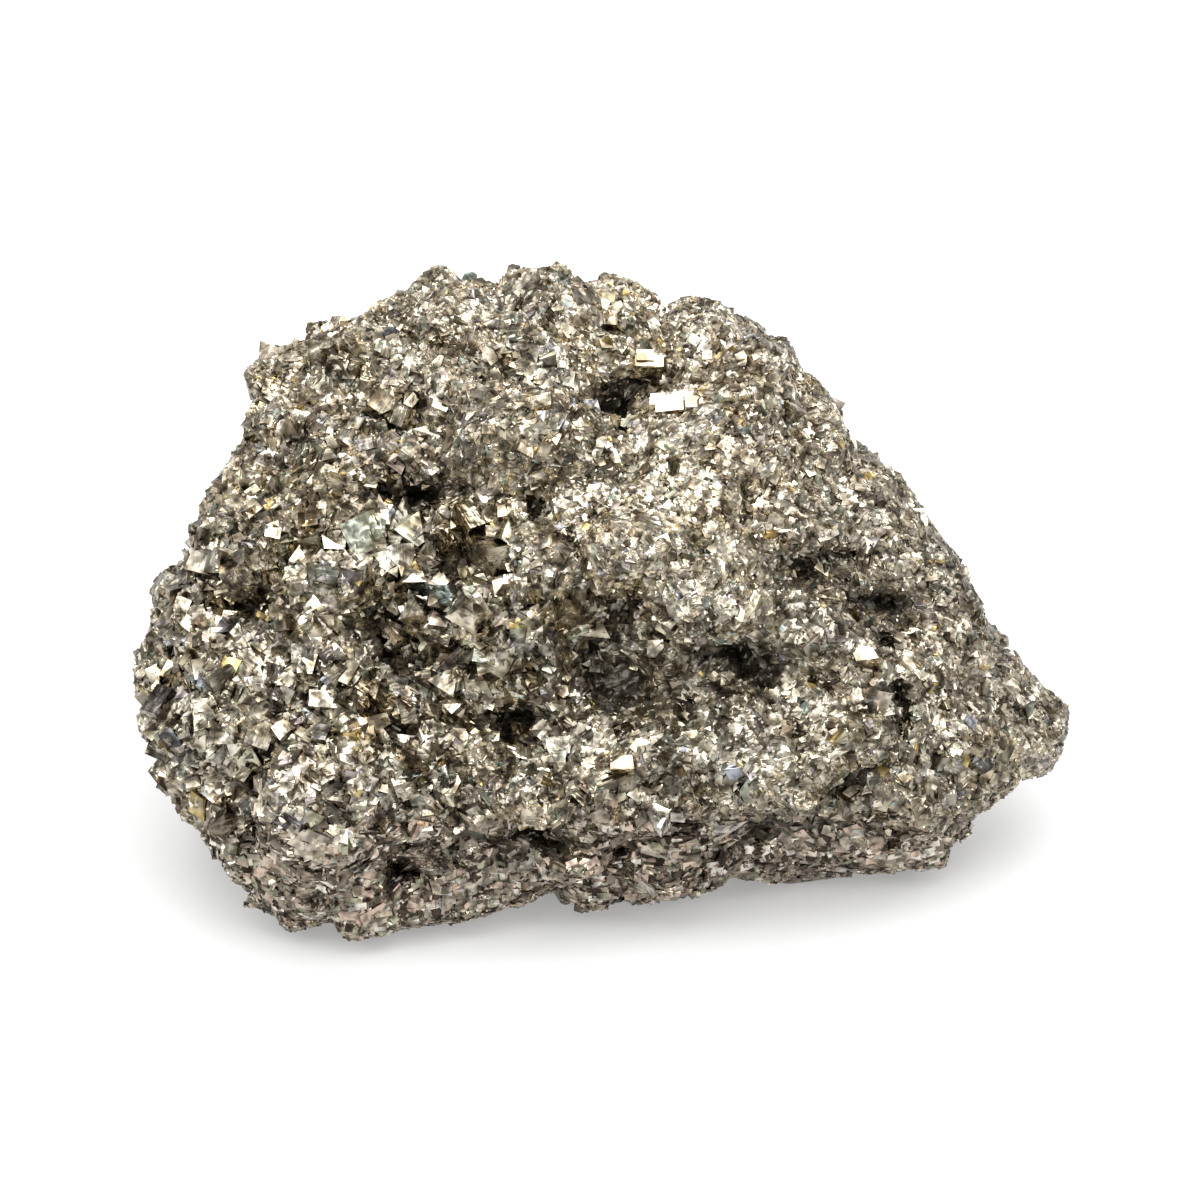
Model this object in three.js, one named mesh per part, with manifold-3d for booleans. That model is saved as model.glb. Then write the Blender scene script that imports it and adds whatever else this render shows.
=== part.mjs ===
// A granular pyrite specimen: one lump of intergrown iron pyrite crystals, about 70 mm from its
// left shoulder to its right tip, standing on the flat of its underside. Millimetres, +Z up,
// the origin at the middle of the box's foot.
//
// The lump is first worked out in a tilted frame, as an eye in front of it sees it: u to the
// right, v up across the line of sight, w towards the eye. An outline closes it all round, a
// front and a back bulge from that outline, broad broken faces flatten them, pushes add ledges,
// benches and pits, and two sizes of lumps roughen the whole. The result is turned upright,
// given its larger crystals, and cut flat where it rests.
import * as THREE from "three";
import { mergeVertices } from "three/addons/utils/BufferGeometryUtils.js";
import Module from "manifold-3d";

// Driving dimensions
const EYE_ELEVATION = THREE.MathUtils.degToRad(35); // how steeply the eye looks down on the lump
const EYE_DISTANCE = 600; // from the eye to the tilted frame's origin
const CENTRE = new THREE.Vector2(0, -1); // what the outline and the bulges are measured from
const FRONT_DEPTH = 13; // how far the front bulges from the outline, towards the eye
const BACK_DEPTH = 26; // how far the back bulges, away from it
const MIDDLE_DEPTH = -6; // depth of the mid surface at the centre
const ROUNDNESS = 2.4; // power of the bulge: 2 is an ellipse, more is boxier
const CRUST = 0.4; // how far the crystals stand out past the lump's own skin
const FLOOR = -21.9; // height of the resting flat below the tilted frame's origin
const ORIGIN = new THREE.Vector2(-0.04, 8.06); // where the part's own origin lies on that flat
const SKIN_DETAIL = 13; // splits of each edge of the icosahedron that becomes the skin
const RIM_BAND = 3; // how far behind and before the outline its own small bumps carry on
const LEVELLED_INSET = 0.8; // how far inside the outline the skin runs beyond that band
const LUMPS = { size: 8.5, height: 3.4, tilt: 1.0, level: 0.35 }; // broken lumps all over the skin
const KNOBS = { size: 4.2, height: 1.5, tilt: 1.0, level: 0.35 }; // and smaller ones on them

// The outline as the eye sees it, in millimetres right of and above the frame's origin,
// anticlockwise from the right tip.
const OUTLINE = [
  [35.4, -8.3], [34.9, -7.6], [33.7, -6.7], [32.2, -5.2], [30.7, -2.9], [29.3, -1.8],
  [28.0, 1.0], [27.1, 2.9], [25.1, 5.6], [22.7, 9.2], [21.6, 10.1], [19.3, 11.8],
  [18.1, 13.4], [18.1, 14.4], [16.4, 16.7], [15.3, 17.3], [14.5, 19.3], [13.2, 20.9],
  [11.7, 21.0], [9.9, 21.7], [9.0, 22.5], [7.9, 22.8], [6.6, 22.8], [4.7, 22.1],
  [4.4, 23.1], [2.8, 23.9], [1.4, 24.5], [-1.6, 24.9], [-2.5, 25.7], [-4.0, 25.7],
  [-6.6, 25.1], [-8.2, 25.4], [-10.7, 24.9], [-11.8, 25.3], [-12.8, 25.1], [-13.8, 24.1],
  [-16.6, 22.5], [-18.7, 21.0], [-22.1, 20.9], [-23.9, 19.3], [-24.6, 19.4], [-26.3, 17.7],
  [-26.7, 16.8], [-26.1, 14.9], [-26.7, 13.9], [-26.6, 12.6], [-27.8, 10.4], [-29.4, 8.2],
  [-30.8, 5.7], [-30.7, 4.5], [-32.9, 2.3], [-34.2, 0.2], [-34.8, -2.4], [-35.1, -5.6],
  [-34.9, -6.9], [-35.1, -8.1], [-34.6, -9.6], [-32.8, -12.2], [-33.2, -13.2], [-33.1, -14.3],
  [-32.2, -14.9], [-31.8, -16.3], [-29.7, -19.0], [-28.6, -19.8], [-28.7, -20.7], [-27.6, -22.7],
  [-24.0, -24.8], [-22.2, -25.4], [-18.3, -25.6], [-14.5, -24.7], [-11.0, -24.4], [-7.3, -23.3],
  [-5.4, -23.1], [-0.8, -23.5], [4.1, -22.8], [9.8, -21.5], [16.0, -21.3], [18.1, -20.9],
  [22.7, -21.3], [26.1, -20.3], [27.8, -18.5], [28.2, -16.3], [30.9, -14.6], [33.5, -13.2],
  [34.7, -12.5], [35.0, -10.1],
];

// How deep the outline lies at some of its angles: [degrees from +u, depth towards the eye].
const RIM_DEPTHS = [
  [0, -8], [40, -11], [70, -12], [110, -12], [140, -10], [180, -5],
  [225, -0.5], [265, -2.8], [300, -4.6], [325, -6],
];

// Ledges, lumps and pits. Each pushes the skin around one place of the outline's plane:
// [u, v, half width, half height, push along u, along v, along w].
const FRONT_PUSHES = [
  // upper lumps
  [5.2, 6.5, 9.5, 7.5, 0, -0.8, 3.0],
  [17.5, 7.0, 5.5, 3.8, 0, -0.6, 1.8],
  [-8.0, 17.0, 11.0, 5.0, 0, 0, 1.2],
  [-24.0, 15.5, 4.5, 3.5, 0, 0, 1.3],
  [-20.5, 11.5, 5.0, 2.6, 0, -0.4, 1.4],
  [-11.5, 11.5, 5.5, 1.8, 0, -0.8, 1.4],
  [9.5, 18.5, 5.0, 3.2, 0, 0, 1.2],
  // lower benches
  [-26.5, -7.0, 7.5, 5.5, 0, 0, 2.2],
  [-22.5, -18.5, 7.5, 4.5, 0, -0.4, 2.2],
  [-19.5, 3.5, 3.0, 2.4, 0, 0, 1.6],
  [-9.5, -0.5, 4.5, 3.0, 0, -0.4, 2.0],
  [-8.5, -13.5, 8.0, 3.2, 0, -0.8, 1.9],
  [12.0, -13.0, 15.0, 4.5, 0, -0.5, 2.6],
  [9.0, -1.2, 5.0, 1.8, 0, -1.0, 1.6],
  [18.5, -3.6, 5.0, 1.8, 0, -0.4, 1.4],
  [31.0, -8.5, 4.0, 3.5, 0, 0, 1.6],
  // hollows under the upper lumps
  [1.3, -5.8, 4.4, 3.6, 0, 0.6, -4.4],
  [10.6, -4.4, 3.0, 1.7, 0, 0.8, -3.4],
  [15.0, 2.3, 1.9, 1.8, 0, 0.4, -3.6],
  [21.6, -0.7, 4.2, 1.4, 0, 0.4, -2.6],
  [22.0, -7.9, 0.9, 2.2, 0, 0, -3.8],
  [-14.2, -4.6, 3.4, 1.4, 0, 0.4, -3.0],
  [-27.0, 0.2, 4.0, 1.4, 0, 0.4, -1.8],
  [-15.0, 8.2, 4.4, 1.8, 0, 0.4, -2.2],
  [-4.6, 6.8, 1.4, 1.7, 0, 0, -2.8],
  [-7.6, 10.8, 1.8, 1.8, 0, 0, -2.0],
  [2.0, 16.2, 2.8, 1.7, 0, 0.3, -3.4],
  [-18.6, 17.6, 3.2, 1.0, 0, 0.2, -2.2],
  // hollows along the foot
  [-15.0, -20.8, 2.3, 1.9, 0, 0.4, -4.2],
  [-15.6, -15.0, 1.4, 4.2, 0, 0, -1.8],
  [-4.4, -18.0, 5.4, 1.0, 0, 0.3, -3.4],
  [3.5, -19.0, 3.0, 0.8, 0, 0.2, -2.0],
  [12.8, -19.6, 4.6, 0.9, 0, 0.3, -2.2],
  [27.2, -16.6, 2.0, 2.4, -0.6, 0.4, -3.0],
];
const BACK_PUSHES = [
  [-15.0, 12.0, 9.0, 6.0, 0, 0, -2.6],
  [8.0, 8.0, 10.0, 6.0, 0, 0.6, -3.2],
  [20.0, -2.0, 7.0, 5.0, 0, 0.4, -2.4],
  [-24.0, 0.0, 6.0, 6.0, 0, 0, -2.2],
  [-2.0, 20.0, 6.0, 3.0, 0, 0, -1.6],
  [-4.0, 5.0, 3.6, 2.6, 0, 0, 4.2],
  [-16.0, 3.5, 5.0, 1.8, 0, 0, 3.0],
  [17.0, 4.5, 3.4, 1.6, 0, 0, 2.8],
  [1.5, 14.5, 5.5, 1.4, 0, 0, 2.6],
  [-21.0, 17.0, 2.6, 1.6, 0, 0, 2.4],
  [12.0, 15.0, 1.9, 2.4, 0, 0, 2.2],
  [26.5, -6.0, 2.6, 2.0, 0, 0, 2.2],
];

// Broad faces where the lump broke off: what lies past one is pressed back to it. Each is a
// direction from the middle of the lump and a distance along it: [u, v, w, distance].
const FRONT_BREAKS = [
  [0.74, 0.5, 0.45, 23.2],
  [-0.62, 0.55, 0.56, 25.0],
  [-0.86, 0.1, 0.5, 30.0],
  [0.1, -0.78, 0.62, 20.6],
];
const BACK_BREAKS = [
  [-0.5, 0.32, -0.8, 23.5],
  [0.5, 0.3, -0.81, 24.5],
  [0.05, 0.75, -0.66, 23.0],
  [0.86, -0.1, -0.5, 28.0],
  [-0.88, -0.1, -0.46, 29.5],
  [0.1, -0.2, -0.97, 23.0],
];
const PRESS = 0.85; // the share of what lies past a broken face that is pressed back

// Crystals that a few words of description would name: [u, v, depth above the skin, size, turn].
const NAMED_CRYSTALS = [
  [3.3, 17.6, 0.3, 2.8, 0.75], [5.2, 14.9, -0.2, 2.6, 0.2], [-10.6, -1.6, 0.4, 2.6, 1.1],
  [-22.6, -7.2, 0.3, 2.6, 0.5], [-20.9, -10.6, 0.2, 2.2, 0.9], [-16.9, -7.9, 0.3, 2.4, 0.3],
  [-20.2, 4.4, 0.4, 2.8, 0.8], [-11.4, 5.6, 0.3, 2.4, 0.4], [16.9, 5.9, 0.3, 3.2, 0.1],
  [14.6, -4.2, 0.3, 2.4, 0.6], [2.9, -11.2, 0.3, 2.4, 0.9], [12.2, -15.6, 0.2, 1.9, 0.4],
  [-30.0, -9.9, 0.0, 3.6, 0.3], [21.8, -4.0, 0.3, 2.6, 1.0], [33.0, -9.6, -0.2, 2.6, 0.7],
];

// Crystals strewn over the skin
const STREWN = { count: 205, smallest: 1.3, largest: 3.1, seed: 7 };
const SUNK = 0.34; // how far a crystal's middle lies under the skin, as a share of its size
const COARSE_PATCH = { u: -14, v: -4, wide: 15, high: 13, growth: 1.3 }; // crystals grew larger

// A place on a closed list of [angle, value], in degrees, read off along straight lines.
function aroundList(list, degrees) {
  const last = list.length - 1;
  for (let i = 0; i <= last; i += 1) {
    const [from, low] = list[i];
    const [next, high] = list[i === last ? 0 : i + 1];
    const span = i === last ? next + 360 - from : next - from;
    const along = THREE.MathUtils.euclideanModulo(degrees - from, 360);
    if (along <= span) return THREE.MathUtils.lerp(low, high, along / span);
  }
  return list[0][1];
}

// The outline as a list of [angle, radius] about the centre, the angles growing.
const OUTLINE_POLAR = OUTLINE.map(([u, v]) => {
  const arm = new THREE.Vector2(u, v).sub(CENTRE);
  return [THREE.MathUtils.radToDeg(arm.angle()), arm.length() - CRUST];
}).sort((a, b) => a[0] - b[0]);

// The same outline with its bumps levelled out, as it carries on into the two bulges.
const LEVELLED = Array.from({ length: 36 }, (_, i) => {
  const spread = [-20, -15, -10, -5, 0, 5, 10, 15, 20];
  const total = spread.reduce((sum, step) => sum + aroundList(OUTLINE_POLAR, 10 * i + step), 0);
  return [10 * i, total / spread.length - LEVELLED_INSET];
});

// A repeatable random number from 0 to 1 for a cell of space.
function cellRandom(i, j, k, channel) {
  let h = Math.imul(i, 73856093) ^ Math.imul(j, 19349663) ^ Math.imul(k, 83492791);
  h = Math.imul(h ^ Math.imul(channel, 668265263), 1274126177);
  h = Math.imul(h ^ (h >>> 15), 2246822519);
  return ((h ^ (h >>> 13)) >>> 0) / 4294967296;
}

// Lumps with flat tilted tops and creases between them. Each cell of space has a seed with a
// tilted plane through it that also falls away with the square of the distance from the seed.
// The height at a point is the highest of its neighbours' planes, above a level.
function lumpHeight(p, { size, height, tilt, level }) {
  const [ci, cj, ck] = [p.x, p.y, p.z].map((x) => Math.floor(x / size));
  let highest = -Infinity;
  for (let n = 0; n < 27; n += 1) {
    const i = ci + (n % 3) - 1;
    const j = cj + (Math.floor(n / 3) % 3) - 1;
    const k = ck + Math.floor(n / 9) - 1;
    const dx = p.x / size - i - cellRandom(i, j, k, 1);
    const dy = p.y / size - j - cellRandom(i, j, k, 2);
    const dz = p.z / size - k - cellRandom(i, j, k, 3);
    const plane =
      dx * (cellRandom(i, j, k, 4) - 0.5) +
      dy * (cellRandom(i, j, k, 5) - 0.5) +
      dz * (cellRandom(i, j, k, 6) - 0.5);
    const falling = dx * dx + dy * dy + dz * dz;
    const here = 0.5 * cellRandom(i, j, k, 7) + 2 * tilt * plane - falling;
    highest = Math.max(highest, here);
  }
  return height * (highest - level);
}

// Adds the pushes of one side to a point: each fades as a bell around its place.
function pushed(p, pushes) {
  const moved = p.clone();
  for (const [u, v, wide, high, du, dv, dw] of pushes) {
    const far = ((p.x - u) / wide) ** 2 + ((p.y - v) / high) ** 2;
    const share = Math.exp(-far);
    moved.x += du * share;
    moved.y += dv * share;
    moved.z += dw * share;
  }
  return moved;
}

// Presses a point back to the broken faces that it lies past.
function broken(p, faces) {
  const out = p.clone();
  for (const [u, v, w, distance] of faces) {
    const past = (out.x - CENTRE.x) * u + (out.y - CENTRE.y) * v + (out.z - MIDDLE_DEPTH) * w;
    const press = PRESS * Math.max(past - distance, 0);
    out.x -= press * u;
    out.y -= press * v;
    out.z -= press * w;
  }
  return out;
}

// Draws a point in to the outline where the eye would see it past the outline.
function heldIn(p) {
  const arm = new THREE.Vector2(p.x, p.y).sub(CENTRE);
  const limit = aroundList(OUTLINE_POLAR, THREE.MathUtils.radToDeg(arm.angle()));
  const share = Math.min(limit / Math.max(arm.length(), 1e-9), 1);
  return new THREE.Vector3(CENTRE.x + arm.x * share, CENTRE.y + arm.y * share, p.z);
}

// A point of the tilted frame in the part's own frame. Lines of sight meet at the eye, so what
// lies nearer to it is drawn in.
function upright(p) {
  const near = 1 - p.z / EYE_DISTANCE;
  const v = p.y * near;
  const sine = Math.sin(EYE_ELEVATION);
  const cosine = Math.cos(EYE_ELEVATION);
  return new THREE.Vector3(
    p.x * near - ORIGIN.x,
    v * sine - p.z * cosine - ORIGIN.y,
    v * cosine + p.z * sine - FLOOR,
  );
}

// The skin's point in one direction: s goes from 0 at the centre to 1 on the outline, and the
// bulge is (1 - s^n)^(1/n) deep there, n being the roundness.
function skinPoint(direction) {
  const flat = Math.hypot(direction.x, direction.y);
  const degrees = THREE.MathUtils.radToDeg(Math.atan2(direction.y, direction.x));
  const s = flat ** (2 / ROUNDNESS);
  const bulge = Math.abs(direction.z) ** (2 / ROUNDNESS);
  const inFront = direction.z >= 0;
  const depth = (inFront ? FRONT_DEPTH : -BACK_DEPTH) * bulge;
  const inside = 1 - Math.exp(-((depth / RIM_BAND) ** 2));
  const rimRadius = aroundList(OUTLINE_POLAR, degrees);
  const radius = THREE.MathUtils.lerp(rimRadius, aroundList(LEVELLED, degrees), inside);
  const reach = flat > 1e-9 ? (s * radius) / flat : 0;
  const rim = aroundList(RIM_DEPTHS, degrees);
  const p = new THREE.Vector3(
    CENTRE.x + reach * direction.x,
    CENTRE.y + reach * direction.y,
    THREE.MathUtils.lerp(MIDDLE_DEPTH, rim, s * s) + depth,
  );
  const faced = broken(p, inFront ? FRONT_BREAKS : BACK_BREAKS);
  const shaped = pushed(faced, inFront ? FRONT_PUSHES : BACK_PUSHES);
  shaped.addScaledVector(direction, lumpHeight(p, LUMPS) + lumpHeight(p, KNOBS));
  return upright(heldIn(shaped.lerp(p, 1 - inside)));
}

// The skin's outward direction at a point, from two neighbours of its direction.
function skinNormal(direction) {
  const step = 0.03;
  const side = new THREE.Vector3(0, 0, 1).cross(direction).normalize();
  const up = direction.clone().cross(side);
  const here = skinPoint(direction);
  const a = skinPoint(direction.clone().addScaledVector(side, step).normalize()).sub(here);
  const b = skinPoint(direction.clone().addScaledVector(up, step).normalize()).sub(here);
  return a.cross(b).normalize();
}

// A closed geometry, in the part's frame, as a solid that can be joined and cut.
const wasm = await Module();
wasm.setup();
function solidOf(geometry, matrix = new THREE.Matrix4()) {
  const bare = new THREE.BufferGeometry();
  const source = geometry.index ? geometry.toNonIndexed() : geometry;
  bare.setAttribute("position", source.getAttribute("position").clone());
  const merged = mergeVertices(bare.applyMatrix4(matrix), 1e-4);
  return new wasm.Manifold(
    new wasm.Mesh({
      numProp: 3,
      vertProperties: merged.attributes.position.array,
      triVerts: new Uint32Array(merged.index.array),
    }),
  );
}

function skinSolid() {
  const ball = new THREE.IcosahedronGeometry(1, SKIN_DETAIL);
  const position = ball.getAttribute("position");
  const direction = new THREE.Vector3();
  for (let i = 0; i < position.count; i += 1) {
    direction.fromBufferAttribute(position, i).normalize();
    position.setXYZ(i, ...skinPoint(direction).toArray());
  }
  return solidOf(ball);
}

// Repeatable random numbers from 0 to 1.
function randomFrom(seed) {
  let state = seed;
  return () => {
    state = (state * 1664525 + 1013904223) % 4294967296;
    return state / 4294967296;
  };
}

// The direction whose front skin lies over a place of the outline's plane.
function directionOver(u, v) {
  const arm = new THREE.Vector2(u, v).sub(CENTRE);
  const degrees = THREE.MathUtils.radToDeg(arm.angle());
  const s = Math.min(arm.length() / aroundList(OUTLINE_POLAR, degrees), 1);
  const flat = s ** (ROUNDNESS / 2);
  const along = arm.length() > 0 ? flat / arm.length() : 0;
  return new THREE.Vector3(arm.x * along, arm.y * along, Math.sqrt(1 - flat * flat));
}

const CUBE = new THREE.BoxGeometry(1, 1, 1);
const OCTAHEDRON = new THREE.OctahedronGeometry(0.75);

// One crystal of a size, turned any way, its middle a height above the skin.
function crystal(shape, direction, size, height, turn) {
  const middle = skinPoint(direction).addScaledVector(skinNormal(direction), height);
  const matrix = new THREE.Matrix4().compose(
    middle,
    new THREE.Quaternion().setFromEuler(turn),
    new THREE.Vector3(size, size, size),
  );
  return solidOf(shape, matrix);
}

// A direction drawn evenly from all round the lump.
function anyDirection(random) {
  const rise = 2 * random() - 1;
  const angle = 2 * Math.PI * random();
  const flat = Math.sqrt(1 - rise * rise);
  return new THREE.Vector3(flat * Math.cos(angle), flat * Math.sin(angle), rise);
}

// A direction drawn from the coarse patch, which crowds towards its middle.
function patchDirection(random) {
  const share = random();
  const angle = 2 * Math.PI * random();
  const u = COARSE_PATCH.u + COARSE_PATCH.wide * share * Math.cos(angle);
  const v = COARSE_PATCH.v + COARSE_PATCH.high * share * Math.sin(angle);
  return directionOver(u, v);
}

function crystals() {
  const made = NAMED_CRYSTALS.map(([u, v, height, size, turn]) =>
    crystal(CUBE, directionOver(u, v), size, height, new THREE.Euler(turn, 0.6, 2 * turn)),
  );
  const random = randomFrom(STREWN.seed);
  for (let i = 0; i < STREWN.count; i += 1) {
    const coarse = i % 4 === 0;
    const direction = coarse ? patchDirection(random) : anyDirection(random);
    const growth = coarse ? COARSE_PATCH.growth : 1;
    const size = growth * THREE.MathUtils.lerp(STREWN.smallest, STREWN.largest, random() ** 2);
    const turn = new THREE.Euler(3 * random(), 3 * random(), 3 * random());
    const shape = i % 5 === 0 ? OCTAHEDRON : CUBE;
    if (skinPoint(direction).z > size) {
      made.push(crystal(shape, direction, size, -SUNK * size, turn));
    }
  }
  return made;
}

// A block under the resting flat, larger than the lump.
function underBlock() {
  const side = 120;
  return solidOf(new THREE.BoxGeometry(side, side, side).translate(0, 0, -side / 2));
}

function specimenGeometry() {
  const joined = crystals().reduce((lump, one) => lump.add(one), skinSolid());
  const cut = joined.subtract(underBlock());
  const mesh = cut.getMesh();
  return new THREE.BufferGeometry()
    .setAttribute("position", new THREE.BufferAttribute(mesh.vertProperties, 3))
    .setIndex(new THREE.BufferAttribute(mesh.triVerts, 1));
}

const pyrite = new THREE.MeshStandardMaterial({
  color: 0x8f866f,
  metalness: 1,
  roughness: 0.35,
  flatShading: true,
});
const specimen = new THREE.Mesh(specimenGeometry(), pyrite);
specimen.name = "pyrite_cluster";

const part = new THREE.Group();
part.add(specimen);

export default part;
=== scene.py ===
"""A granular pyrite specimen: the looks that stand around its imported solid.

The lump's skin follows the same formulas as the solid, on a much finer grid, and carries a crust
of separate crystals, joined into a few meshes. Lengths in the tables are millimetres in a tilted
frame, as an eye in front of the lump sees it: u to the right, v up across the line of sight and
w towards the eye. Meshes are in metres, in the part's own frame.
"""

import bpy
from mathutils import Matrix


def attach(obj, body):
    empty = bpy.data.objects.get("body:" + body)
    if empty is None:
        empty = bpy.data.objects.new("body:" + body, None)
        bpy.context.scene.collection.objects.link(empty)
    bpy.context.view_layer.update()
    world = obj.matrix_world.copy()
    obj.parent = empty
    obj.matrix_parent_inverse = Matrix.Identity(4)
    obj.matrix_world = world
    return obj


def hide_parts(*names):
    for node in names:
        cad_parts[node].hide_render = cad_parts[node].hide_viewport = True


bl_info = {
    "name": "Pyrite Specimen",
    "version": (1, 0, 0),
    "blender": (4, 5, 0),
    "location": "3D View > Sidebar > Pyrite",
    "description": "Builds a granular pyrite specimen and a plain stage for it",
    "category": "Object",
}

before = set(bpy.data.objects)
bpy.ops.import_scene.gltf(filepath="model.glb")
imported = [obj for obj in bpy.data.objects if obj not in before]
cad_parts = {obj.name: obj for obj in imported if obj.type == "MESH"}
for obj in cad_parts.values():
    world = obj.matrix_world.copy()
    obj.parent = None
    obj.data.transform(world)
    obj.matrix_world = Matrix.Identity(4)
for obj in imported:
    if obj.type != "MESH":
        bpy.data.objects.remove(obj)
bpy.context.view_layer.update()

import itertools
import math

import bpy
import numpy as np
from bpy.props import FloatProperty, FloatVectorProperty, IntProperty, PointerProperty
from mathutils import Vector

MM = 0.001
BODY = "root"
CAD_NODE = "pyrite_cluster"

# The photo's eye
EYE_ELEVATION = math.radians(35)
EYE_DISTANCE = 600.0
PHOTO_WIDTH = 1200
PIXELS_PER_MM = 13.4
SENSOR_WIDTH = 36.0

# The skin's driving dimensions, as in the solid
CENTRE = np.array([0.0, -1.0])  # the middle of the outline
FRONT_DEPTH = 13.0  # from the bulge's middle to its front
BACK_DEPTH = 26.0  # and to its back
MIDDLE_DEPTH = -6.0  # how far towards the eye the bulge's middle lies
ROUNDNESS = 2.4  # 2 is an ellipsoid, and more is boxier
CRUST = 0.4  # how far the outline is drawn in, to leave room for the crystals
FOOT = np.array([-0.04, 8.06, -21.9])  # the middle of the foot, before it is moved to the origin
RIM_BAND = 3.0  # how deep the band at the outline is where pushes and lumps fade out
LEVELLED_INSET = 0.8  # how far the levelled outline is drawn in
PRESS = 0.85  # how much of what lies past a broken face is pressed back

OUTLINE = np.array([
    [35.4, -8.3], [34.9, -7.6], [33.7, -6.7], [32.2, -5.2], [30.7, -2.9], [29.3, -1.8],
    [28.0, 1.0], [27.1, 2.9], [25.1, 5.6], [22.7, 9.2], [21.6, 10.1], [19.3, 11.8],
    [18.1, 13.4], [18.1, 14.4], [16.4, 16.7], [15.3, 17.3], [14.5, 19.3], [13.2, 20.9],
    [11.7, 21.0], [9.9, 21.7], [9.0, 22.5], [7.9, 22.8], [6.6, 22.8], [4.7, 22.1],
    [4.4, 23.1], [2.8, 23.9], [1.4, 24.5], [-1.6, 24.9], [-2.5, 25.7], [-4.0, 25.7],
    [-6.6, 25.1], [-8.2, 25.4], [-10.7, 24.9], [-11.8, 25.3], [-12.8, 25.1], [-13.8, 24.1],
    [-16.6, 22.5], [-18.7, 21.0], [-22.1, 20.9], [-23.9, 19.3], [-24.6, 19.4], [-26.3, 17.7],
    [-26.7, 16.8], [-26.1, 14.9], [-26.7, 13.9], [-26.6, 12.6], [-27.8, 10.4], [-29.4, 8.2],
    [-30.8, 5.7], [-30.7, 4.5], [-32.9, 2.3], [-34.2, 0.2], [-34.8, -2.4], [-35.1, -5.6],
    [-34.9, -6.9], [-35.1, -8.1], [-34.6, -9.6], [-32.8, -12.2], [-33.2, -13.2], [-33.1, -14.3],
    [-32.2, -14.9], [-31.8, -16.3], [-29.7, -19.0], [-28.6, -19.8], [-28.7, -20.7], [-27.6, -22.7],
    [-24.0, -24.8], [-22.2, -25.4], [-18.3, -25.6], [-14.5, -24.7], [-11.0, -24.4], [-7.3, -23.3],
    [-5.4, -23.1], [-0.8, -23.5], [4.1, -22.8], [9.8, -21.5], [16.0, -21.3], [18.1, -20.9],
    [22.7, -21.3], [26.1, -20.3], [27.8, -18.5], [28.2, -16.3], [30.9, -14.6], [33.5, -13.2],
    [34.7, -12.5], [35.0, -10.1],
])

# How deep the outline lies at some of its angles: degrees from +u, depth towards the eye
RIM_DEPTHS = np.array([
    [0, -8], [40, -11], [70, -12], [110, -12], [140, -10], [180, -5],
    [225, -0.5], [265, -2.8], [300, -4.6], [325, -6],
])

# Ledges, benches, hollows and pits: u, v, half width, half height, push along u, v and w
FRONT_PUSHES = [
    (5.2, 6.5, 9.5, 7.5, 0, -0.8, 3.0),
    (17.5, 7.0, 5.5, 3.8, 0, -0.6, 1.8),
    (-8.0, 17.0, 11.0, 5.0, 0, 0, 1.2),
    (-24.0, 15.5, 4.5, 3.5, 0, 0, 1.3),
    (-20.5, 11.5, 5.0, 2.6, 0, -0.4, 1.4),
    (-11.5, 11.5, 5.5, 1.8, 0, -0.8, 1.4),
    (9.5, 18.5, 5.0, 3.2, 0, 0, 1.2),
    (-26.5, -7.0, 7.5, 5.5, 0, 0, 2.2),
    (-22.5, -18.5, 7.5, 4.5, 0, -0.4, 2.2),
    (-19.5, 3.5, 3.0, 2.4, 0, 0, 1.6),
    (-9.5, -0.5, 4.5, 3.0, 0, -0.4, 2.0),
    (-8.5, -13.5, 8.0, 3.2, 0, -0.8, 1.9),
    (12.0, -13.0, 15.0, 4.5, 0, -0.5, 2.6),
    (9.0, -1.2, 5.0, 1.8, 0, -1.0, 1.6),
    (18.5, -3.6, 5.0, 1.8, 0, -0.4, 1.4),
    (31.0, -8.5, 4.0, 3.5, 0, 0, 1.6),
    (1.3, -5.8, 4.4, 3.6, 0, 0.6, -4.4),
    (10.6, -4.4, 3.0, 1.7, 0, 0.8, -3.4),
    (15.0, 2.3, 1.9, 1.8, 0, 0.4, -3.6),
    (21.6, -0.7, 4.2, 1.4, 0, 0.4, -2.6),
    (22.0, -7.9, 0.9, 2.2, 0, 0, -3.8),
    (-14.2, -4.6, 3.4, 1.4, 0, 0.4, -3.0),
    (-27.0, 0.2, 4.0, 1.4, 0, 0.4, -1.8),
    (-15.0, 8.2, 4.4, 1.8, 0, 0.4, -2.2),
    (-4.6, 6.8, 1.4, 1.7, 0, 0, -2.8),
    (-7.6, 10.8, 1.8, 1.8, 0, 0, -2.0),
    (2.0, 16.2, 2.8, 1.7, 0, 0.3, -3.4),
    (-18.6, 17.6, 3.2, 1.0, 0, 0.2, -2.2),
    (-15.0, -20.8, 2.3, 1.9, 0, 0.4, -4.2),
    (-15.6, -15.0, 1.4, 4.2, 0, 0, -1.8),
    (-4.4, -18.0, 5.4, 1.0, 0, 0.3, -3.4),
    (3.5, -19.0, 3.0, 0.8, 0, 0.2, -2.0),
    (12.8, -19.6, 4.6, 0.9, 0, 0.3, -2.2),
    (27.2, -16.6, 2.0, 2.4, -0.6, 0.4, -3.0),
]
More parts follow.
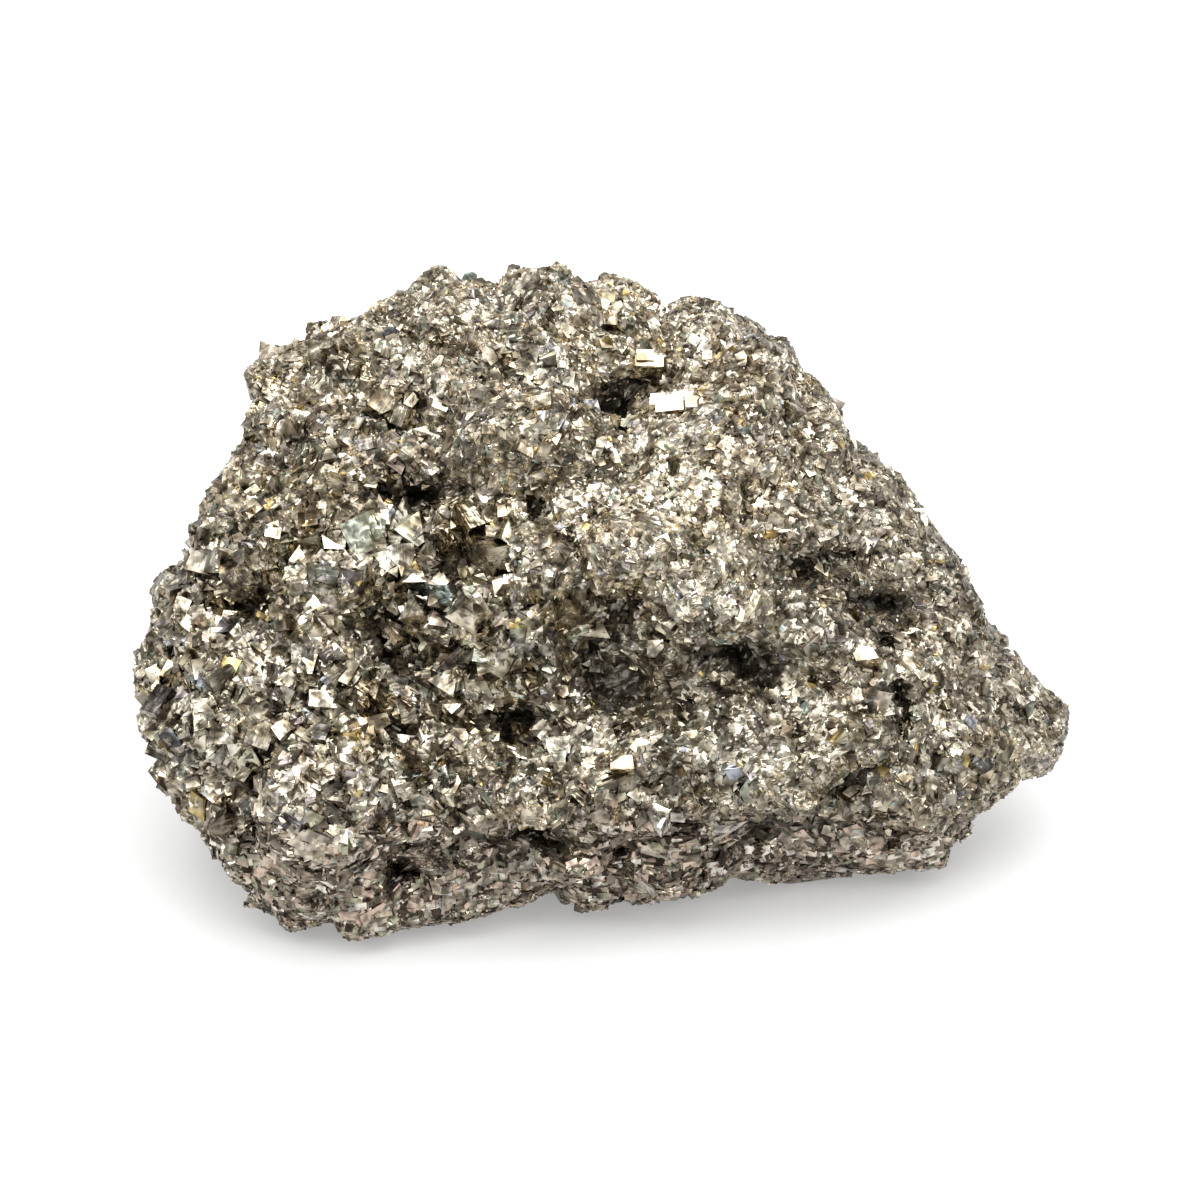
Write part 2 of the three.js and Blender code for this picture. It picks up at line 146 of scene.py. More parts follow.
BACK_PUSHES = [
    (-15.0, 12.0, 9.0, 6.0, 0, 0, -2.6),
    (8.0, 8.0, 10.0, 6.0, 0, 0.6, -3.2),
    (20.0, -2.0, 7.0, 5.0, 0, 0.4, -2.4),
    (-24.0, 0.0, 6.0, 6.0, 0, 0, -2.2),
    (-2.0, 20.0, 6.0, 3.0, 0, 0, -1.6),
    (-4.0, 5.0, 3.6, 2.6, 0, 0, 4.2),
    (-16.0, 3.5, 5.0, 1.8, 0, 0, 3.0),
    (17.0, 4.5, 3.4, 1.6, 0, 0, 2.8),
    (1.5, 14.5, 5.5, 1.4, 0, 0, 2.6),
    (-21.0, 17.0, 2.6, 1.6, 0, 0, 2.4),
    (12.0, 15.0, 1.9, 2.4, 0, 0, 2.2),
    (26.5, -6.0, 2.6, 2.0, 0, 0, 2.2),
]

# Dents and swellings too slight for the solid, in the same columns
DENTS = [
    (5.5, 3.6, 6.0, 3.4, 0, -0.4, 2.2),
    (2.2, 15.4, 1.5, 1.0, 0, 0, -1.2),
    (4.2, 16.3, 1.4, 0.8, 0, 0, -1.2),
    (2.6, -0.8, 2.2, 0.9, 0, 0.3, -1.4),
    (12.6, -3.8, 1.6, 1.0, 0, 0, 1.4),
    (-4.6, 7.0, 1.2, 1.2, 0, 0, -2.4),
    (-27.3, -0.3, 2.4, 0.8, 0, 0, -1.6),
    (-15.2, -20.2, 1.6, 1.2, 0, 0, -1.2),
    (-8.0, -18.2, 1.6, 0.6, 0, 0, -1.4),
    (1.3, -19.6, 0.9, 0.5, 0, 0, -1.4),
    (22.0, -0.2, 1.3, 0.7, 0, 0, -1.4),
]

# Broad broken faces: a direction from the middle of the lump and a distance along it
FRONT_BREAKS = [
    (0.74, 0.5, 0.45, 23.2),
    (-0.62, 0.55, 0.56, 25.0),
    (-0.86, 0.1, 0.5, 30.0),
    (0.1, -0.78, 0.62, 20.6),
]
BACK_BREAKS = [
    (-0.5, 0.32, -0.8, 23.5),
    (0.5, 0.3, -0.81, 24.5),
    (0.05, 0.75, -0.66, 23.0),
    (0.86, -0.1, -0.5, 28.0),
    (-0.88, -0.1, -0.46, 29.5),
    (0.1, -0.2, -0.97, 23.0),
]

# Lumps over the whole skin, as in the solid: size, height, tilt and level
LUMPS = [(8.5, 3.4, 1.0, 0.35), (4.2, 1.5, 1.0, 0.35)]

# The tilt and level of the finer lumps, which the solid doesn't have
BLOCK_SHAPE = (1.7, 0.95)
SMALL_LUMP_SHAPE = (1.4, 0.4)
GRAIN_SHAPE = (1.2, 0.35)
BLOCK_SHARE = 3  # how much more a crystal follows its block than the finer lumps

# How hollows are found: the width of the cells that heights are summed in, how far around a point
# its height is compared with a share for each, the depth where a hollow starts, and how much
# deeper it is full
HOLLOW_CELL = 0.4
HOLLOW_REACHES = [(1.2, 1.0), (3.0, 0.8)]
HOLLOW_FROM = 0.25
HOLLOW_RANGE = 1.1

# Crystals that catch the light: u, v, height above the skin, size along the face, size across it,
# and the way the face looks, along u, v and w. The first two stand in the vug near the top, and
# the next three on its lower lip.
BRIGHT_CRYSTALS = np.array([
    [3.65, 17.7, 1.1, 2.1, 0.9, 0.05, 0.46, 0.89], [3.3, 18.5, 1.0, 1.3, 0.9, 0.03, 0.46, 0.89],
    [6.0, 16.5, 0.5, 2.3, 1.3, -0.05, 0.44, 0.9], [4.5, 15.7, 0.4, 1.2, 0.9, -0.12, 0.5, 0.86],
    [7.2, 15.8, 0.4, 0.9, 0.9, 0.1, 0.42, 0.9],
    [-9.9, -2.4, 0.2, 1.6, 1.3, -0.05, 0.48, 0.88], [-22.8, -8.0, 0.3, 1.7, 1.3, 0.1, 0.42, 0.9],
    [-20.4, -10.5, 0.2, 1.2, 1.2, 0.0, 0.5, 0.87], [-7.1, -11.9, 0.4, 1.7, 1.2, 0.1, 0.4, 0.91],
    [-7.7, -14.8, 0.3, 1.6, 0.9, 0.0, 0.46, 0.89], [-24.6, -5.4, 0.3, 1.4, 1.5, -0.1, 0.42, 0.9],
    [-20.6, 4.2, 0.3, 1.6, 1.1, 0.05, 0.5, 0.86], [-24.2, 4.8, 0.3, 1.5, 1.2, -0.1, 0.4, 0.91],
    [16.9, 5.9, 0.4, 2.6, 1.3, 0.05, 0.42, 0.9], [14.2, -4.6, 0.2, 1.5, 1.2, 0.0, 0.48, 0.88],
    [-0.5, -12.4, 0.3, 1.6, 1.0, 0.12, 0.44, 0.89], [1.6, -13.2, 0.3, 1.8, 1.0, -0.1, 0.46, 0.88],
    [-9.3, 5.9, 0.1, 1.1, 1.0, 0.0, 0.42, 0.91], [21.8, -4.0, 0.4, 1.8, 1.2, -0.1, 0.46, 0.88],
    [11.5, 3.2, 0.1, 1.2, 0.7, 0.1, 0.44, 0.89], [-14.6, 1.9, 0.3, 1.5, 1.1, 0.0, 0.5, 0.87],
    [4.6, -16.3, 0.2, 1.3, 0.9, 0.05, 0.46, 0.88], [-28.6, -10.1, 0.0, 2.2, 2.2, -0.5, -0.2, 0.84],
])
IN_VUG = slice(0, 2)
ON_LIP = slice(2, 5)
# Both shines also paint these crystals' colour at its lightest, partly as painted light
CLEAN_SHINE = 2.0  # the shine of those five, which have no spot of dirt
BRIGHT_SHINE = 1.3  # the shine of the others
BRIGHT_MOVED = 0.24  # how far the others' corners are moved, in sizes
LIP_MOVED = 0.4  # what share of that the lip's are moved
VUG_TONE = 0.7  # the tone of the two in the vug

# The vug near the top, which the strewn crystals keep clear of
VUG = (2.6, 16.0)
VUG_REACH = 3.6

# The solid's strewn crystals. One in four lies in a coarse patch, where they are larger.
STREWN_COUNT = 205
STREWN_SMALLEST = 1.3
STREWN_LARGEST = 3.1
STREWN_SEED = 7
STREWN_SUNK = 0.34
COARSE_PLACE = (-14.0, -4.0)
COARSE_REACH = (15.0, 13.0)
COARSE_GROWTH = 1.3

# The size, shine and wear of the grain far from any zone, and their weight against a zone's 1
PLAIN_GRAIN = (0.6, 0.6, 0.1)
PLAIN_WEIGHT = 0.02

# Zones of grain: u, v, half width, half height, usual crystal size, shine, wear. A zone's shine
# also paints its crystals lighter or darker, partly as painted light.
FRONT_ZONES = [
    (-16.0, -4.0, 13.0, 9.0, 1.5, 0.8, 0.0),
    (-25.0, -9.0, 9.0, 7.0, 1.3, 0.75, 0.0),
    (-22.0, 9.0, 8.0, 8.0, 0.85, 0.75, 0.1),
    (-4.0, 20.0, 12.0, 5.0, 0.7, 1.05, 0.1),
    (-2.0, 12.0, 9.0, 4.0, 0.75, 0.95, 0.1),
    (5.0, 6.5, 8.0, 7.0, 0.45, 1.6, 0.0),
    (16.0, 8.0, 6.0, 6.0, 0.6, 0.8, 0.1),
    (24.0, 0.0, 7.0, 8.0, 0.55, 0.4, 0.2),
    (2.0, -7.0, 5.0, 4.0, 0.7, 0.1, 0.1),
    (15.0, -9.0, 13.0, 6.0, 0.75, 0.5, 0.0),
    (-6.0, -13.0, 7.0, 4.0, 0.9, 0.6, 0.1),
    (-20.0, -21.0, 10.0, 4.0, 0.6, 0.15, 1.0),
    (5.0, -20.0, 20.0, 2.5, 0.6, 0.15, 1.0),
]
BACK_ZONES = [
    (-18.0, 10.0, 10.0, 9.0, 0.8, 0.7, 0.0),
    (2.0, 14.0, 9.0, 8.0, 0.6, 0.4, 0.3),
    (18.0, 2.0, 9.0, 8.0, 0.65, 0.8, 0.0),
    (-4.0, -2.0, 10.0, 8.0, 0.95, 0.9, 0.0),
    (-26.0, -6.0, 8.0, 9.0, 0.6, 0.4, 0.2),
    (12.0, -14.0, 12.0, 7.0, 0.6, 0.3, 0.7),
]

# How the crust's crystals vary. Shares are of a crystal's size.
LARGEST_SIZE = 2.1
SMALLEST_SHARE = 0.6  # the smallest crystal against the usual one
SIZE_SPREAD = 1.1  # how much more the largest one has
EDGE_SHRINK = 0.4  # how much smaller crystals are on the outline
STRETCH = 0.25  # how far a crystal's sides differ from a cube's, either way
FLAKE = np.array([1.7, 1.0, 0.4])  # the sides of a worn flake
SUNK_SPREAD = 0.12  # how far the depth of the middle under the skin spreads, either way
ASKEW_SUNK = 0.16  # how much deeper a crystal sits that doesn't follow the skin
PATCH_FRAY = 0.25  # how far the edges of patches that lean together are mixed up
HALF_DIAGONAL = 0.87  # from a cube's middle to its corner
FLOOR_GAP = 0.3  # the least gap between a crystal's furthest reach and the floor
STRIPE_SHIFT = 10.0  # how far a crystal's stripes are shifted by its tone

# What each crystal's corners, and the ground's, tell their material: the rise and the hollow set
# painted shade, and a crystal's shine partly sets painted light
CRYSTAL_VALUES = ("tone", "shine", "rise", "wear", "hollow", "size")
GROUND_VALUES = ("shine", "hollow", "wear")

# A Mix node's sockets for colours, which its sockets for numbers share their names with
FACTOR, FIRST, SECOND, MIXED = 0, 6, 7, 2

# The stage, in metres from the middle of the foot
FLOOR_HALF = 3.0
SOFTBOX_PLACE = (0.0, -0.02, 0.6)
SOFTBOX_SIZE = 0.62
FILL_PLACE = (0.5, -0.2, 0.35)
FILL_SIZE = 0.16

TINY = 1e-9
NORMAL_STEP = 0.03  # how far apart the directions lie that a normal is worked out from
NEIGHBOURS = list(itertools.product((-1, 0, 1), repeat=3))


class PyriteSkinSettings(bpy.types.PropertyGroup):
    """Sizes of the lump's own skin."""

    grid: IntProperty(
        name="Grid", description="Faces along each side of the six patches of the skin",
        default=128, min=16, max=128)
    block_size: FloatProperty(
        name="Block Size", description="Width of the tilted blocks of the skin",
        default=0.0038, unit="LENGTH", precision=5)
    block_height: FloatProperty(
        name="Block Height", description="Height of the tilted blocks",
        default=0.0017, unit="LENGTH", precision=5)
    lump_size: FloatProperty(
        name="Small Lump Size", description="Width of the small lumps between the crystals",
        default=0.0017, unit="LENGTH", precision=5)
    lump_height: FloatProperty(
        name="Small Lump Height", description="Height of the small lumps",
        default=0.0008, unit="LENGTH", precision=5)
    pit_spacing: FloatProperty(
        name="Pit Spacing", description="Width of the cells of space with one pit each",
        default=0.0036, unit="LENGTH", precision=5)
    pit_reach: FloatProperty(
        name="Pit Reach", description="Half the usual width of a pit",
        default=0.0009, unit="LENGTH", precision=5)
    pit_depth: FloatProperty(
        name="Pit Depth", description="Depth of the deepest pits",
        default=0.0026, unit="LENGTH", precision=5)
    grain_size: FloatProperty(
        name="Grain Size", description="Width of the flat-topped grains of the skin",
        default=0.0009, unit="LENGTH", precision=5)
    grain_height: FloatProperty(
        name="Grain Height", description="Height of the grains",
        default=0.0004, unit="LENGTH", precision=5)


class PyriteCrystalSettings(bpy.types.PropertyGroup):
    """Counts and sizes of the crystals."""

    seed: IntProperty(
        name="Seed", description="Start of the random numbers", default=11, min=0)
    strewn_scale: FloatProperty(
        name="Large Crystal Scale", description="Size of the strewn crystals against the solid's",
        default=0.78, min=0.3, max=1.0, subtype="FACTOR")
    medium_count: IntProperty(
        name="Medium Crystals", description="Number of medium crystals", default=6400, min=0)
    medium_growth: FloatProperty(
        name="Medium Growth", description="Size of the medium crystals against the usual size",
        default=1.3, min=0.2, max=3.0, subtype="FACTOR")
    fine_count: IntProperty(
        name="Fine Crystals", description="Number of fine crystals in each of the three pieces",
        default=16400, min=0)
    fine_growth: FloatProperty(
        name="Fine Growth", description="Size of the fine crystals against the usual size",
        default=0.72, min=0.2, max=3.0, subtype="FACTOR")
    patch_size: FloatProperty(
        name="Patch Size", description="Width of the patches whose crystals lean together",
        default=0.0021, unit="LENGTH", precision=5)
    patch_lean: FloatProperty(
        name="Patch Lean", description="How far the crystals of a patch lean together",
        default=0.6, min=0.0, max=2.0)
    sunk: FloatProperty(
        name="Sunk Share", description="How far a crystal's middle lies under the skin",
        default=0.42, min=0.0, max=0.5, subtype="FACTOR")


class PyriteStageSettings(bpy.types.PropertyGroup):
    """The floor and the light."""

    floor_colour: FloatVectorProperty(
        name="Floor", description="Colour of the floor", subtype="COLOR", size=3,
        default=(0.45, 0.45, 0.45), min=0.0, max=1.0)
    floor_glow: FloatProperty(
        name="Floor Glow", description="Light that comes up through the floor", default=0.3,
        min=0.0)
    softbox_power: FloatProperty(
        name="Softbox Power", description="Power of the overhead softbox",
        default=3.6, min=0.0, unit="POWER")
    fill_power: FloatProperty(
        name="Fill Power", description="Power of each of the two side softboxes",
        default=0.7, min=0.0, unit="POWER")
    surround: FloatProperty(
        name="Surround", description="Brightness of the studio around", default=0.47, min=0.0)
    ceiling: FloatProperty(
        name="Ceiling", description="Brightness of the studio straight above", default=2.4,
        min=0.0)


def around(table, degrees):
    """A closed table of angle and value, read off at any angles along straight lines."""
    return np.interp(degrees, table[:, 0], table[:, 1], period=360)


def degrees_of(arm):
    """The angle of each arm in the outline's plane, in degrees from +u towards +v."""
    return np.degrees(np.arctan2(arm[:, 1], arm[:, 0]))


def outline_polar():
    """The outline as angle and radius about the centre, a crust's depth inside."""
    arm = OUTLINE - CENTRE
    degrees = degrees_of(arm) % 360
    order = np.argsort(degrees)
    return np.column_stack([degrees, np.hypot(*arm.T) - CRUST])[order]


def levelled_polar(polar):
    """The outline with its bumps averaged out over 40 degrees, and drawn in a little."""
    degrees = np.arange(0, 360, 10.0)
    spread = np.arange(-20, 21, 5.0)
    means = around(polar, degrees[:, None] + spread).mean(axis=1)
    return np.column_stack([degrees, means - LEVELLED_INSET])


POLAR = outline_polar()
LEVELLED = levelled_polar(POLAR)


def unit(v):
    """Each row divided by its length."""
    return v / np.maximum(np.linalg.norm(v, axis=-1, keepdims=True), TINY)


def bell(p, u, v, wide, high):
    """1 at a place of the outline's plane, and e^(-x^2 - y^2) at x half widths and y half
    heights from it."""
    return np.exp(-((p[:, 0] - u) / wide) ** 2 - ((p[:, 1] - v) / high) ** 2)


def cell_random(cell, *channels):
    """Repeatable random numbers from 0 to 1, with a row for each cell of space and a column for
    each channel, by mixing the cell's three whole coordinates with large odd factors."""
    i, j, k = cell.astype(np.uint32).T
    mixed = i * np.uint32(73856093) ^ j * np.uint32(19349663) ^ k * np.uint32(83492791)
    salt = (np.array(channels) * 668265263 % 2**32).astype(np.uint32)
    h = (mixed[:, None] ^ salt) * np.uint32(1274126177)
    h = (h ^ (h >> np.uint32(15))) * np.uint32(2246822519)
    return (h ^ (h >> np.uint32(13))) / 2.0**32


def lump_height(p, size, height, tilt, level):
    """Lumps with tilted tops: each cell of space has a seed with a tilted plane through it that
    falls away with the squared distance, and a point takes the highest of its neighbours'."""
    cell = np.floor(p / size).astype(np.int64)
    highest = np.full(len(p), -np.inf)
    for step in NEIGHBOURS:
        near = cell + np.array(step)
        drawn = cell_random(near, 1, 2, 3, 4, 5, 6, 7)
        seed = near + drawn[:, :3]
        lean = drawn[:, 3:6] - 0.5
        arm = p / size - seed
        here = 0.5 * drawn[:, 6] + 2 * tilt * (arm * lean).sum(1) - (arm**2).sum(1)
        highest = np.maximum(highest, here)
    return height * (highest - level)


def pit_depth(p, size, reach, depth):
    """Pits, one in each cell of space: a bell of a random reach and depth around its seed."""
    cell = np.floor(p / size).astype(np.int64)
    deep = np.zeros(len(p))
    for step in NEIGHBOURS:
        near = cell + np.array(step)
        drawn = cell_random(near, 11, 12, 13, 14, 15)
        seed = near + drawn[:, :3]
        wide = reach * (0.5 + drawn[:, 3])
        far = ((p - seed * size) ** 2).sum(1) / wide**2
        deep = np.maximum(deep, depth * drawn[:, 4] * np.exp(-far))
    return deep


def patch_lean(p, size):
    """A random lean, each part of it from -1 to 1, that all the points in a cell share."""
    cell = np.floor(p / size).astype(np.int64)
    return 2 * cell_random(cell, 21, 22, 23) - 1


def pushed(p, pushes):
    """The sum of the pushes at each point, each fading as a bell around its own place."""
    moved = p.copy()
    for u, v, wide, high, *push in pushes:
        moved += bell(p, u, v, wide, high)[:, None] * np.array(push)
    return moved


def broken(p, faces):
    """What lies past a broken face is pressed back towards it, by a fixed share."""
    out = p.copy()
    middle = np.array([*CENTRE, MIDDLE_DEPTH])
    for *way, distance in faces:
        toward = np.array(way)
        past = np.maximum((out - middle) @ toward - distance, 0)
        out -= PRESS * past[:, None] * toward
    return out


def held_in(p):
    """Points seen past the outline are drawn in to it."""
    arm = p[:, :2] - CENTRE
    limit = around(POLAR, degrees_of(arm))
    share = np.minimum(limit / np.maximum(np.hypot(*arm.T), TINY), 1)
    return np.column_stack([CENTRE + arm * share[:, None], p[:, 2]])


def turned_upright(v):
    """Directions of the tilted frame in the part's own."""
    sine, cosine = math.sin(EYE_ELEVATION), math.cos(EYE_ELEVATION)
    return np.column_stack([
        v[:, 0], v[:, 1] * sine - v[:, 2] * cosine, v[:, 1] * cosine + v[:, 2] * sine])


def upright(p):
    """The tilted frame turned to the part's own: a turn by the eye's elevation, after drawing
    in what lies nearer to the eye, since lines of sight meet there."""
    near = 1 - p[:, 2] / EYE_DISTANCE
    drawn_in = np.column_stack([p[:, 0] * near, p[:, 1] * near, p[:, 2]])
    return turned_upright(drawn_in) - FOOT


def bulge_tilted(direction):
    """The smooth bulge in the tilted frame, and how far inside the outline each point lies. A
    direction from the middle gives s, from 0 at the centre to 1 on the outline, and the depth
    (1 - s^n)^(1/n)."""
    flat = np.hypot(direction[:, 0], direction[:, 1])
    degrees = degrees_of(direction)
    s = flat ** (2 / ROUNDNESS)
    bulge = np.abs(direction[:, 2]) ** (2 / ROUNDNESS)
    depth = np.where(direction[:, 2] >= 0, FRONT_DEPTH, -BACK_DEPTH) * bulge
    inside = (1 - np.exp(-((depth / RIM_BAND) ** 2)))[:, None]
    rim_radius = around(POLAR, degrees)
    radius = rim_radius + (around(LEVELLED, degrees) - rim_radius) * inside[:, 0]
    reach = s * radius / np.maximum(flat, TINY)
    rim = around(RIM_DEPTHS, degrees)
    middle = MIDDLE_DEPTH + (rim - MIDDLE_DEPTH) * s**2
    p = np.column_stack([CENTRE + direction[:, :2] * reach[:, None], middle + depth])
    return p, inside


def skin_tilted(direction, finer_lumps=(), pits=()):
    """The skin in the tilted frame: the bulge with its breaks, pushes and lumps, which fade out
    in a band at the outline. With finer lumps it is dented and roughened all over as well."""
    p, inside = bulge_tilted(direction)
    in_front = direction[:, 2] >= 0
    front = pushed(broken(p, FRONT_BREAKS), FRONT_PUSHES)
    back = pushed(broken(p, BACK_BREAKS), BACK_PUSHES)
    shaped = np.where(in_front[:, None], front, back)
    rough = sum(lump_height(p, *lump) for lump in LUMPS)
    shaped = held_in(shaped * inside + direction * rough[:, None] * inside + p * (1 - inside))
    if finer_lumps:
        fine = sum(lump_height(shaped, *lump) for lump in finer_lumps)
        fine = fine - sum(pit_depth(shaped, *pit) for pit in pits)
        dented = np.where(in_front[:, None], pushed(shaped, DENTS), shaped)
        shaped = held_in(dented + direction * fine[:, None])
    return shaped


def skin_points(direction):
    """The skin in the part's own frame, without its finer lumps."""
    return upright(skin_tilted(direction))


def skin_normals(direction):
    """The skin's outward direction: the cross product of the ways to two neighbours, one to
    each side of every direction."""
    side = unit(np.cross([0.0, 0.0, 1.0], direction))
    up = np.cross(direction, side)
    here = skin_points(direction)
    a = skin_points(unit(direction + side * NORMAL_STEP)) - here
    b = skin_points(unit(direction + up * NORMAL_STEP)) - here
    return unit(np.cross(a, b))


def over(place):
    """The direction whose front skin lies at a place of the outline's plane: the bulge's own
    formula turned round."""
    arm = place - CENTRE
    length = np.hypot(*arm.T)
    s = np.minimum(length / around(POLAR, degrees_of(arm)), 1)
    flat = s ** (ROUNDNESS / 2)
    return np.column_stack([
        arm * (flat / np.maximum(length, TINY))[:, None], np.sqrt(1 - flat**2)])


def sphere_grid(count):
    """A closed ball of directions: the six sides of a cube, each a grid of two parameters whose
    tangents are evenly stepped, with the points that sides share made one."""
    steps = np.arange(count + 1)
    a, b = (x.ravel() for x in np.meshgrid(steps, steps, indexing="ij"))
    keys = []
    for axis in range(3):
        for far in (0, count):
            point = np.empty((len(a), 3), np.int64)
            point[:, axis] = far
            turned = (a, b) if far else (b, a)
            point[:, (axis + 1) % 3] = turned[0]
            point[:, (axis + 2) % 3] = turned[1]
            keys.append(point)
    keys = np.concatenate(keys)
    code = keys @ np.array([(count + 1) ** 2, count + 1, 1])
    _, first, where = np.unique(code, return_index=True, return_inverse=True)
    corner = (steps[:-1, None] * (count + 1) + steps[None, :-1]).ravel()
    quad = np.column_stack([corner, corner + count + 1, corner + count + 2, corner + 1])
    side_starts = np.arange(6) * (count + 1) ** 2
    quads = (quad[None] + side_starts[:, None, None]).reshape(-1, 4)
    direction = unit(np.tan((2 * keys[first] / count - 1) * math.pi / 4))
    return direction, where.ravel()[quads]


def diagonals_crossed(points, quads):
    """The cross product of each quad's diagonals, which points outwards and is twice its area."""
    a, b, c, d = (points[quads[:, corner]] for corner in range(4))
    return np.cross(c - a, d - b)


def under_mean(place, values, reach):
    """How far each value lies under the mean of those around it. The values are summed up in the
    cells of a flat grid, and smoothed by a bell along both of its directions."""
    where = tuple(((place - place.min(0)) / HOLLOW_CELL).astype(int).T)
    sums = np.zeros((2, *(int(along.max()) + 1 for along in where)))
    np.add.at(sums[0], where, values)
    np.add.at(sums[1], where, 1.0)
    steps = np.arange(-2 * reach, 2 * reach + HOLLOW_CELL, HOLLOW_CELL)
    weights = np.exp(-((steps / reach) ** 2))
    for axis in (1, 2):
        sums = np.apply_along_axis(np.convolve, axis, sums, weights, "same")
    return (sums[0] / np.maximum(sums[1], TINY))[where] - values


def zone_fields(tilted, in_front):
    """The usual crystal size, the shine and the wear at each point: the mean of the zones'
    values, each weighted by a bell around its place."""
    fields = []
    for zones in (FRONT_ZONES, BACK_ZONES):
        weights = np.full(len(tilted), PLAIN_WEIGHT)
        sums = weights[:, None] * np.array(PLAIN_GRAIN)
        for u, v, wide, high, *values in zones:
            weight = bell(tilted, u, v, wide, high)
            weights = weights + weight
            sums = sums + weight[:, None] * np.array(values)
        fields.append(sums / weights[:, None])
    return np.where(in_front[:, None], fields[0], fields[1]).T


class Skin:
    """The lump's fine skin. Each point has the usual crystal size around it, its shine and wear,
    the hollow, from 0 on open ground to 1 deep in a pit, and the edge, which is 1 on the outline
    and fades inwards. Each face has its area, its normal, and the way its crystals face."""

    def __init__(self, settings):
        finer_lumps = [
            (settings.block_size / MM, settings.block_height / MM, *BLOCK_SHAPE),
            (settings.lump_size / MM, settings.lump_height / MM, *SMALL_LUMP_SHAPE),
            (settings.grain_size / MM, settings.grain_height / MM, *GRAIN_SHAPE),
        ]
        pits = [(settings.pit_spacing / MM, settings.pit_reach / MM, settings.pit_depth / MM)]
        self.direction, self.quads = sphere_grid(settings.grid)
        in_front = self.direction[:, 2] >= 0
        tilted = skin_tilted(self.direction, finer_lumps, pits)
        smooth, inside = bulge_tilted(self.direction)
        height = ((tilted - smooth) * self.direction).sum(1)
        self.edge = 1 - inside[:, 0]
        self.hollow = self.hollows(tilted, height, in_front)
        self.size, self.shine, self.wear = zone_fields(tilted, in_front)
        self.points = upright(tilted)
        self.points[:, 2] = np.maximum(self.points[:, 2], 0)
        crossed = diagonals_crossed(self.points, self.quads)
        self.area = np.linalg.norm(crossed, axis=1) / 2
        self.normal = unit(crossed)
        blocky = upright(skin_tilted(self.direction, finer_lumps[:1]))
        block_normal = unit(diagonals_crossed(blocky, self.quads))
        self.facing = unit(self.normal + BLOCK_SHARE * block_normal)

    @staticmethod
    def hollows(tilted, height, in_front):
        """How far a point lies under the mean height around it, near or far, or how deep and
        narrow the table's own push is there, whichever is more."""
        sunk = np.empty(len(tilted))
        for side in (in_front, ~in_front):
            sunk[side] = np.max([
                share * under_mean(tilted[side, :2], height[side], reach)
                for reach, share in HOLLOW_REACHES], axis=0)
        hollow = np.clip((sunk - HOLLOW_FROM) / HOLLOW_RANGE, 0, 1)
        for u, v, wide, high, _, _, push in FRONT_PUSHES + DENTS:
            if push < 0:
                steep = -push / (3 + 1.2 * min(wide, high))
                hollow = np.maximum(hollow, in_front * bell(tilted, u, v, wide, high) * steep)
        return hollow

    def draw(self, random, count, weight):
        """Places drawn evenly over the faces' weighted area, each at a random spot of its face."""
        total = np.cumsum(self.area * weight)
        stops = (np.arange(count) + random.random(count)) / count * total[-1]
        face = np.minimum(np.searchsorted(total, stops), len(total) - 1)
        a, b = random.random((2, count, 1))
        p0, p1, p2, p3 = (self.points[self.quads[face, k]] for k in range(4))
        place = (p0 * (1 - a) + p1 * a) * (1 - b) + (p3 * (1 - a) + p2 * a) * b
        return place, face

    def face_mean(self, values):
        """The mean of the points' values at each face's four corners."""
        return values[self.quads].mean(1)


# What the operators share: the body's skin, and each material by its maker's name
KEPT = {}


def built_skin():
    """The skin as the body's operator left it."""
    if "skin" not in KEPT:
        raise RuntimeError("The crystals grow on the body, so the body is built first")
    return KEPT["skin"]


def convex_form(planes):
    """The convex body inside a set of planes, each a direction and a distance. Gives its corners,
    where three planes meet inside all the others, and each face's corners in order round it."""
    normals = np.array([normal for normal, _ in planes])
    distances = np.array([distance for _, distance in planes])
    corners = []
    for three in itertools.combinations(range(len(planes)), 3):
        chosen = normals[list(three)]
        if abs(np.linalg.det(chosen)) < 1e-6:
            continue
        corner = np.linalg.solve(chosen, distances[list(three)])
        fits = (normals @ corner <= distances + 1e-6).all()
        if fits and not any(np.allclose(corner, other, atol=1e-6) for other in corners):
            corners.append(corner)
    corners = np.array(corners)
    faces = []
    for normal, distance in planes:
        on = np.flatnonzero(np.abs(corners @ normal - distance) < 1e-5)
        if len(on) < 3:
            continue
        arms = corners[on] - corners[on].mean(0)
        side = unit(arms[0])
        angle = np.arctan2(arms @ np.cross(normal, side), arms @ side)
        faces.append(on[np.argsort(angle)])
    return corners, faces


def cube_planes(distance):
    """Six planes, to either side along each axis."""
    return [(np.eye(3)[axis] * sign, distance) for axis in range(3) for sign in (-1, 1)]


def octahedron_planes(distance):
    """Eight planes, square to the lines from the middle of a cube to its corners."""
    corners = itertools.product((-1, 1), repeat=3)
    return [(np.array(signs) / math.sqrt(3), distance) for signs in corners]


def pyritohedron_planes(distance):
    """Twelve planes, which lean one in two from the cube's."""
    planes = []
    for axis, sign, lean in itertools.product(range(3), (-1, 1), (-1, 1)):
        normal = np.zeros(3)
        normal[axis], normal[(axis + 1) % 3] = 2 * sign, lean
        planes.append((normal / math.sqrt(5), distance))
    return planes


def broken_cube(seed):
    """A cube with three or four pieces broken off along random planes."""
    random = np.random.default_rng(seed)
    cuts = unit(random.normal(size=(3 + seed % 2, 3)))
    return convex_form(cube_planes(0.5) + [(cut, random.uniform(0.3, 0.55)) for cut in cuts])


# Forms one unit wide
CUBE = convex_form(cube_planes(0.5))
OCTAHEDRON = convex_form(octahedron_planes(0.75 / math.sqrt(3)))
PYRITOHEDRON = convex_form(pyritohedron_planes(0.52))
BROKEN_CUBES = [broken_cube(seed) for seed in range(6)]

